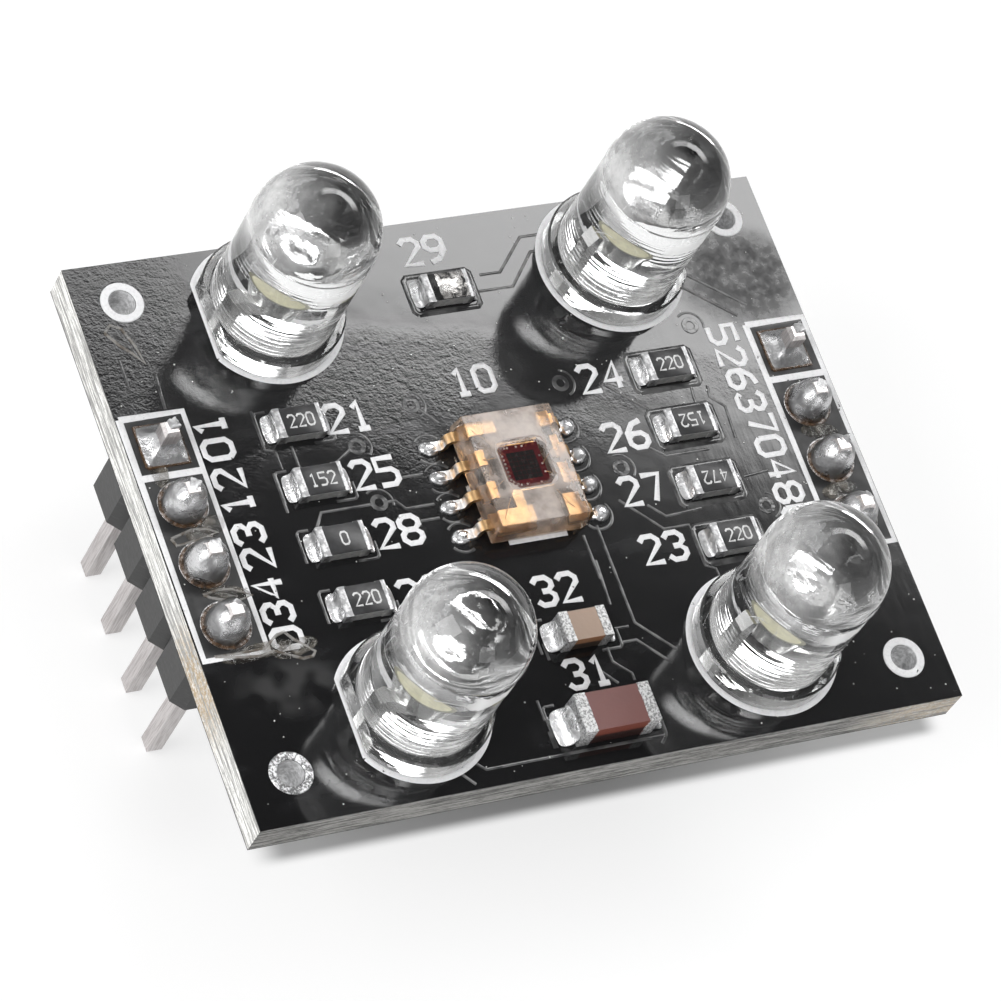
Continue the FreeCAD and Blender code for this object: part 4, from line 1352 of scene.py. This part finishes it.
class MODULE_OT_pin_joints(bpy.types.Operator):
    """Models the solder joints of the header pins, with the rough ends of the pins and their flux"""

    bl_idname = "module.pin_joints"
    bl_label = "Pin joints"

    def execute(self, context):
        height = sizes().joint_height * METRE
        bright = solder_finish("pin_joint_solder", shade(colors().solder, 0.74), 0.17, 0.8, 0.8)
        crust = solder_finish("rough_pin_end", colors().solder, 0.3, 2.5)
        burnt = brown_flux_finish()
        round_joint = spun("round_joint", joint_profile(sizes().joint_radius * METRE, height, 0.2), 48)
        square_joint = square_joint_shape()
        nub = pin_end_shape()
        flux_ring = ring("flux_ring", 0.97, 0.82, 0.05, 40)
        for side in SIDES:
            joints, nubs, rings = [], [], []
            for number, pin in enumerate(PIN_ROWS[side]):
                lower = 0.03 * number
                joint = round_joint if number else square_joint
                place = (pin.x, pin.y, TOP)
                joints.append(copy_of(joint, "joint_copy", place, 23 * number, (1, 1, 1 - lower)))
                place = (pin.x + 0.1, pin.y + 0.12, TOP + height - 0.12 - lower)
                nubs.append(copy_of(nub, "nub_copy", place, 40 * number + 10))
                if number:
                    place = (pin.x - 0.02, pin.y - 0.03, TOP + 0.02)
                    rings.append(copy_of(flux_ring, "ring_copy", place, 70 * number))
                else:
                    rings.append(strip("square_flux", [square_line(pin, 0.86)], 0.16, 0.05, TOP + 0.02))
            made = finish(join(f"pin_joints_{side}", joints), bright)
            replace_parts(made, f"header_solder_{side}")
            finish(join(f"pin_ends_{side}", nubs), crust)
            finish(join(f"pin_flux_{side}", rings), burnt)
        discard(round_joint, square_joint, nub, flux_ring)
        return {"FINISHED"}


def lens_profile(radius, height, flange, foot=0.03):
    """The side of a clear LED: flange, straight body and round dome."""
    shoulder = height - radius
    points = [(0, foot), (flange - 0.08, foot), (flange, foot + 0.08), (flange, 0.92), (flange - 0.08, 1.0),
              (radius + 0.06, 1.02), (radius + 0.01, 1.08)]
    for step in range(26):
        level = 1.12 + 0.07 * step
        points.append((radius + 0.03 * math.sin(step * 1.9) * math.exp(-step / 16), level))
    points += [(radius, shoulder * share) for share in (0.55, 0.7, 0.85)]
    points += [(radius, shoulder - 0.16), (radius + 0.022, shoulder - 0.1), (radius, shoulder - 0.04)]
    points += [(x, y + shoulder) for x, y in arc(radius, 0, 88, 28)]
    points.append((0, height))
    return points


class MODULE_OT_leds(bpy.types.Operator):
    """Models the clear LED bodies and finishes the metal and phosphor inside them"""

    bl_idname = "module.leds"
    bl_label = "Clear LEDs"

    def execute(self, context):
        radius = sizes().lens_radius * METRE
        clear = lens_finish()
        yellow = phosphor_finish()
        metal = lead_finish()
        profile = lens_profile(radius, sizes().lens_height * METRE, sizes().flange_radius * METRE)
        body = spun("led_body", profile, 96)
        cut_off(body, (-radius - 0.01, 0, 0), (-1, 0, 0))
        path = wire(Vector((0.1, 0, 2.98)), Vector((1.25, 0, 3.1)), 0.2, 8, 8)
        bond = tube("bond", [path], sizes().wire_radius * METRE)
        bonds = []
        for place, led in LEDS.items():
            where = ((led.x, led.y, TOP), led_turn(place))
            lens = finish(copy_of(body, f"clear_lens_{place}", *where), clear)
            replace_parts(lens, f"led_lens_{place}")
            bonds.append(copy_of(bond, "bond_copy", *where))
            dress(f"led_phosphor_{place}", yellow)
            dress(f"led_chip_{place}", yellow)
            dress(f"led_cup_lead_{place}", metal)
            dress(f"led_post_lead_{place}", metal)
        discard(body, bond)
        finish(join("led_bond_wires", bonds), frame_finish())
        return {"FINISHED"}


def case_shape(low, high):
    """The sensor's clear body, with drafted sides under and over its widest line."""
    size = high - low
    middle = (SENSOR.x, SENSOR.y, 0)
    narrow_x, narrow_y = size.x - 0.1, size.y - 0.1
    case = primitive("sensor_body", "plane", size=1, location=(SENSOR.x, SENSOR.y, low.z))
    edit(case, "FACE")
    bpy.ops.transform.resize(value=(narrow_x, narrow_y, 1), center_override=middle)
    pull_up(CASE_WAIST)
    bpy.ops.transform.resize(value=(size.x / narrow_x, size.y / narrow_y, 1), center_override=middle)
    pull_up(size.z - CASE_WAIST)
    bpy.ops.transform.resize(value=(1 - 0.2 / size.x, 1 - 0.2 / size.y, 1), center_override=middle)
    face_outwards()
    leave()
    soften(case, 0.07, 4, 20)
    return case


def bond_pads(low, high):
    """The bond pads on the chip: those on the left, then at the back, in front and on the right."""
    edge = 0.1
    pads = [(low.x + edge, low.y + 0.2 + n * 0.17) for n in range(8)]
    pads += [(low.x + along, high.y - edge) for along in (0.3, 0.42, 0.8, 1.05)]
    pads += [(low.x + along, low.y + edge) for along in (0.25, 0.45, 0.7, 1.3)]
    pads += [(high.x - edge, low.y + along) for along in (0.5, 0.85, 1.2)]
    return pads


class MODULE_OT_sensor(bpy.types.Operator):
    """Models the sensor's clear body, its bond balls and wires, and finishes its chip and lead frame"""

    bl_idname = "module.sensor"
    bl_label = "Clear sensor"

    def execute(self, context):
        low, high = box_mm("sensor_case")
        chip_low, chip_high = box_mm("sensor_chip")
        chip = (chip_low + chip_high) / 2
        gold = frame_finish()
        for number in range(1, 9):
            dress(f"sensor_lead_{number}", gold)
        dress("sensor_chip", chip_finish())
        body = finish(case_shape(low, high), case_finish())
        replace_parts(body, "sensor_case")

        line = [(chip.x + x * WINDOW - WINDOW_SHIFT, chip.y + y * WINDOW - WINDOW_SHIFT) for x, y in (
            (-1, 0.64), (-0.9, 0.9), (-0.64, 1), (0.64, 1), (0.9, 0.9), (1, 0.64),
            (1, -0.64), (0.9, -0.9), (0.64, -1), (-0.64, -1), (-0.9, -0.9), (-1, -0.64), (-1, 0.64))]
        # The window outline's pale colour is a painted highlight.
        rim = strip("window_outline", [line], 0.07, 0.03, high.z - 0.005)
        finish(rim, window_rim_highlight_finish())

        pads = bond_pads(chip_low, chip_high)
        ball = primitive("bond_ball", "uv_sphere", segments=12, ring_count=8, radius=0.046)
        edit(ball)
        bpy.ops.transform.resize(value=(1, 1, 0.55), center_override=(0, 0, 0))
        leave()
        balls = [copy_of(ball, "ball_copy", (x, y, chip_high.z + 0.015)) for x, y in pads]
        discard(ball)
        bright = solder_finish("bond_balls", (1.0, 0.98, 0.96), 0.45, 0.4)
        finish(join("sensor_bond_balls", balls), bright)

        wires = []
        for number, pad in enumerate(WIRED_PADS, 1):
            reach = -1.45 if number <= 4 else 1.5
            lead_top = box_mm(f"sensor_lead_{number}")[1].z
            start = Vector((*pads[pad], chip_high.z + 0.02))
            end = Vector((SENSOR.x + reach, FEET_BACK[number - 1], lead_top + 0.01))
            wires.append(wire(start, end, 0.13, 9, 7))
        finish(tube("sensor_bond_wires", wires, sizes().wire_radius * METRE), gold)
        return {"FINISHED"}


class MODULE_OT_chips(bpy.types.Operator):
    """Finishes the resistors and capacitors and adds the glazed tops and plain number codes"""

    bl_idname = "module.chips"
    bl_label = "Chips"

    def execute(self, context):
        glaze = block("glaze", (1.5, 1.14, 0.03), (0.05, 0, 0))
        soften(glaze, 0.012)
        plates = []
        for name in RESISTORS:
            dress(name, resistor_finish(name))
            mid = middle_mm(name)
            plates.append(copy_of(glaze, "glaze_copy", (mid.x, mid.y, box_mm(name)[1].z - 0.004)))
        discard(glaze)
        finish(plates.pop(), smeared_finish()).name = "smeared_back_top"
        finish(join("resistor_glazes", plates), glaze_finish())
        texts = []
        for name, (text, turn) in zip(RESISTORS, CODES):
            mid = middle_mm(name)
            texts.append((text, mid.x + 0.05, mid.y, CODE_HEIGHT, turn))
        top = box_mm(RESISTORS[0])[1].z + 0.011
        finish(lettering("resistor_codes", texts, 0.17, 0.004, top, 0.8), code_finish())
        dress("capacitor_small", capacitor_finish("capacitor_small", colors().tan, 0.58, 0.44))
        dress("capacitor_large", capacitor_finish("capacitor_large", colors().brown, 1.08, 0.6))
        return {"FINISHED"}


def meniscus(name, width, run, rise, steps=5):
    """Solder that climbs from its pad to a chip's end: a hollow slope, narrower and higher in its middle."""
    curve = [(0.0, 0.0), (run, 0.0), (run * 0.62, rise * 0.08), (run * 0.34, rise * 0.26),
             (run * 0.14, rise * 0.6), (0.0, rise), (-0.06, rise * 1.02), (-0.06, 0.0)]
    piece = draw_lines(name, [[(x, -width / 2, z) for x, z in curve]])
    edit(piece)
    bpy.ops.mesh.edge_face_add()
    for _ in range(steps):
        bpy.ops.mesh.extrude_region_move(TRANSFORM_OT_translate={"value": (0, width / steps, 0)})
    face_outwards()
    mesh = bmesh.from_edit_mesh(piece.data)
    for vert in mesh.verts:
        off = abs(vert.co.y) / (width / 2)
        vert.co.z *= 1 - 0.28 * off ** 2
        if vert.co.x > 0.01:
            vert.co.x *= 1 - 0.22 * off ** 3
            vert.co.y *= 1 + 0.12 * vert.co.x / run
    bmesh.update_edit_mesh(piece.data)
    pick(piece, lambda place: place.x > 0.02 and place.z > 0.01)
    bpy.ops.transform.vertex_random(offset=0.05, seed=int(run * 100))
    leave()
    round_off(piece, 2)
    return piece


class MODULE_OT_chip_joints(bpy.types.Operator):
    """Models the solder at the ends of the chips and on the sensor's feet, and finishes it under the board"""

    bl_idname = "module.chip_joints"
    bl_label = "Chip joints"

    def execute(self, context):
        bright = solder_finish("chip_joint_solder", colors().solder, 0.2, 0.8)
        small = meniscus("small_meniscus", 1.15, 0.42, 0.48)
        pieces = []
        for name in RESISTORS:
            low, high = box_mm(name)
            back = (low.y + high.y) / 2
            pieces.append(copy_of(small, "end_copy", (high.x, back, TOP)))
            pieces.append(copy_of(small, "end_copy", (low.x, back, TOP), 180, (1.15, 1, 1)))
        discard(small)
        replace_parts(finish(join("resistor_joints", pieces), bright), "resistor_solder")
        pieces = []
        for name, run, rise in zip(CAPACITORS, (0.66, 0.85), (0.6, 0.82)):
            low, high = box_mm(name)
            back = (low.y + high.y) / 2
            slope = meniscus("cap_meniscus", (high.y - low.y) * 0.94, run, rise)
            pieces.append(copy_of(slope, "end_copy", (high.x, back, TOP), 0, (0.85, 1, 1)))
            pieces.append(copy_of(slope, "end_copy", (low.x, back, TOP), 180))
            discard(slope)
        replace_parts(finish(join("capacitor_joints", pieces), bright), "capacitor_solder")

        profile = [(0, 0), (0.42, 0), (0.43, 0.06), (0.4, 0.14), (0.32, 0.22), (0.2, 0.28), (0.08, 0.3),
                   (0, 0.3)]
        blob = spun("blob", profile, 28)
        pieces = []
        for number, foot in enumerate(sensor_feet()):
            shift, stretch = (-0.06, (1.0, 0.74, 0.8)) if foot.x < SENSOR.x else (0.1, (0.95, 0.82, 1.15))
            place = (foot.x + shift, foot.y, TOP)
            pieces.append(copy_of(blob, "blob_copy", place, 9 * number - 20, stretch))
        discard(blob)
        mirror = solder_finish("foot_solder", shade(colors().solder, 1.15), 0.07, 0.3, 0.7)
        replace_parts(finish(join("sensor_foot_joints", pieces), mirror), "sensor_solder")
        dress("led_solder", bright)
        return {"FINISHED"}


class MODULE_OT_headers(bpy.types.Operator):
    """Finishes the plastic strips and the pins"""

    bl_idname = "module.headers"
    bl_label = "Pin headers"

    def execute(self, context):
        plastic = plastic_finish()
        pins = pin_finish()
        for side in SIDES:
            dress(f"header_plastic_{side}", plastic)
            for number in range(1, 5):
                dress(f"header_pin_{side}_{number}", pins)
        return {"FINISHED"}


class MODULE_OT_residue(bpy.types.Operator):
    """Adds dried flux between the left pads and dust over the board"""

    bl_idname = "module.residue"
    bl_label = "Flux and dust"

    def execute(self, context):
        profile = [(0, 0), (1.0, 0), (0.97, 0.5), (0.85, 0.9), (0.6, 0.75), (0.25, 0.8), (0, 0.8)]
        drop = spun("drop", profile, 28)
        roughen(drop, 0.05, 11)
        pools = [copy_of(drop, "pool", (x, y, TOP + 0.004), turn, (long, deep, 0.05))
                 for x, y, long, deep, turn in FLUX_POOLS]
        discard(drop)
        finish(join("dried_flux", pools), flux_finish())
        loops = [strip("flux_loop", [loop + loop[:1]], 0.13, 0.05, TOP + 0.01) for loop in FLUX_LOOPS]
        finish(join("flux_edges", loops), loop_finish())

        rng = random.Random(27)
        speck = primitive("speck", "ico_sphere", subdivisions=1, radius=0.03)
        roughen(speck, 0.012, 3)
        specks = []
        for _ in range(sizes().speck_count):
            x = rng.uniform(BOARD_LOW.x + 0.3, BOARD_HIGH.x - 0.3)
            y = rng.uniform(BOARD_LOW.y + 0.3, BOARD_HIGH.y - 0.3)
            size = rng.uniform(0.35, 1.0) ** 2 + 0.2
            turn = rng.uniform(0, 360)
            stretch = (size * rng.uniform(0.8, 1.8), size, size * 0.6)
            specks.append(copy_of(speck, "speck_copy", (x, y, TOP + 0.02), turn, stretch))
        discard(speck)
        finish(join("dust_specks", specks), dust_finish())
        return {"FINISHED"}


def floor_finish():
    """Pale floor that glows white for the camera, with painted shadow under the board and beside it: less
    glow there, and a darker colour under the board.
    """
    made = Finish("pale_floor_with_painted_shadow", roughness=0.9, specular_ior_level=0.1)
    place = made.place()
    across, back, _ = made.parts(place)
    # Painted shadow: under the board and, faintly, beside the left pins, the floor's glow is cut, and under
    # the board its colour is darkened.
    under = ((across + 11.2).rise(0, 1.8) * (1 - (across - 19.0).rise(0, 1.2))
             * (back + 9.5).rise(0, 0.6) * (1 - (back - 13.5).rise(0, 1.5)))
    beside = 1 - made.distance(place, (-13.5, -6.0, 0)).rise(0.3, 3.5)
    lit = (1 - under * 0.97) * (1 - beside * 0.16)
    made.set(base_color=made.mix(under, (0.94, 0.94, 0.94), (0.5, 0.5, 0.5)))
    glow = made.add("ShaderNodeEmission", None, {"Color": (1, 1, 1), "Strength": 1.1})
    seen = made.add("ShaderNodeLightPath", output="Is Camera Ray")
    through = made.add("ShaderNodeLightPath", output="Is Transmission Ray")
    made.blend(glow, seen.most(through) * 0.66 * lit)
    return made.material


def hold(name, data):
    """Puts a lamp or a camera into the scene."""
    holder = bpy.data.objects.new(name, data)
    bpy.context.scene.collection.objects.link(holder)
    return holder


def add_lamp(name, place, size, power):
    """A square soft box that shines at the module, in metres and watts."""
    lamp = bpy.data.lights.new(name, "AREA")
    lamp.shape = "SQUARE"
    lamp.size = size
    lamp.energy = power
    holder = hold(name, lamp)
    holder.location = place
    holder.rotation_euler = (Vector(place) - Vector((0, 0, 0.01))).to_track_quat("Z", "Y").to_euler()


def add_camera():
    """The camera of the photograph."""
    camera = bpy.data.cameras.new("photo_camera")
    camera.sensor_width = SENSOR_WIDTH
    camera.lens = FOCAL_PIXELS * SENSOR_WIDTH / PHOTO_PIXELS
    camera.clip_start = 0.01
    camera.clip_end = 10.0
    right = Vector(CAMERA_RIGHT).normalized()
    forward = Vector(CAMERA_FORWARD).normalized()
    up = right.cross(forward).normalized()
    holder = hold("photo_camera", camera)
    turn = Matrix((right, up, -forward)).transposed().to_4x4()
    holder.matrix_world = Matrix.Translation(CAMERA_PLACE) @ turn
    return holder


def light_tent():
    """A world of bright walls, a dim patch over the back and a bright panel low in the back right."""
    world = bpy.data.worlds.new("light_tent")
    sheet = Sheet(world)
    x, y, z = sheet.parts(sheet.add("ShaderNodeTexCoord", output="Generated"))
    lift = z.math("ARCSINE") * (180 / math.pi)
    turn = y.math("ARCTAN2", x) * (180 / math.pi)
    border = lift - (turn - 42.5) * 0.22
    aside = abs(turn - 42)
    panel = (1 - border.rise(52.9, 54.1)) * (1 - (turn - 45.0).rise(0, 3) * 0.4)
    panel = panel * border.rise(40, 45) * (1 - aside.rise(28, 46))
    dim = border.rise(50, 53) * (1 - lift.rise(61, 70)) * (1 - aside.rise(28, 60))
    west = (y * 0.26 - x * 0.97).rise(0.15, 0.8) * (1 - lift.rise(60, 80))
    level = 0.3 * (1 - dim) + dim * 0.05 + panel * 10.0 + lift.rise(60, 82) * 0.6 + west * 0.5
    seen = sheet.add("ShaderNodeLightPath", output="Is Camera Ray")
    back = sheet.tree.nodes["Background"]
    sheet.link(back.inputs["Color"], (1, 1, 1))
    sheet.link(back.inputs["Strength"], seen + level * (1 - seen))
    return world


class MODULE_OT_stage(bpy.types.Operator):
    """Sets up the pale floor, the studio light and the camera of the photograph"""

    bl_idname = "module.stage"
    bl_label = "Stage"

    def execute(self, context):
        floor = primitive("floor", "plane", size=3.0, location=(0, 0, -0.00003))
        floor.data.materials.append(floor_finish())
        add_lamp("left_softbox", (-0.22, -0.02, 0.16), 0.16, 0.45)
        add_lamp("front_softbox", (0.02, -0.3, 0.14), 0.14, 0.12)
        context.scene.world = light_tent()
        context.scene.view_settings.view_transform = "Standard"
        context.scene.camera = add_camera()
        return {"FINISHED"}


OPERATORS = (
    MODULE_OT_board,
    MODULE_OT_copper,
    MODULE_OT_silk,
    MODULE_OT_pin_joints,
    MODULE_OT_leds,
    MODULE_OT_sensor,
    MODULE_OT_chips,
    MODULE_OT_chip_joints,
    MODULE_OT_headers,
    MODULE_OT_residue,
    MODULE_OT_stage,
)


class MODULE_PT_panel(bpy.types.Panel):
    """Lists the pieces of the module and their sizes and colors"""

    bl_label = "Color sensor module"
    bl_idname = "MODULE_PT_panel"
    bl_space_type = "VIEW_3D"
    bl_region_type = "UI"
    bl_category = "Module"

    def draw(self, context):
        layout = self.layout
        for group in (context.scene.module_sizes, context.scene.module_colors):
            box = layout.box()
            for key in group.__annotations__:
                box.prop(group, key)
        for operator in OPERATORS:
            layout.operator(operator.bl_idname)


CLASSES = (ModuleSizes, ModuleColors, *OPERATORS, MODULE_PT_panel)


def register():
    for made in CLASSES:
        bpy.utils.register_class(made)
    bpy.types.Scene.module_sizes = bpy.props.PointerProperty(type=ModuleSizes)
    bpy.types.Scene.module_colors = bpy.props.PointerProperty(type=ModuleColors)


def unregister():
    del bpy.types.Scene.module_colors
    del bpy.types.Scene.module_sizes
    for made in reversed(CLASSES):
        bpy.utils.unregister_class(made)


def main():
    register()
    for operator in OPERATORS:
        group, name = operator.bl_idname.split(".")
        getattr(getattr(bpy.ops, group), name)()


if __name__ == "__main__":
    main()
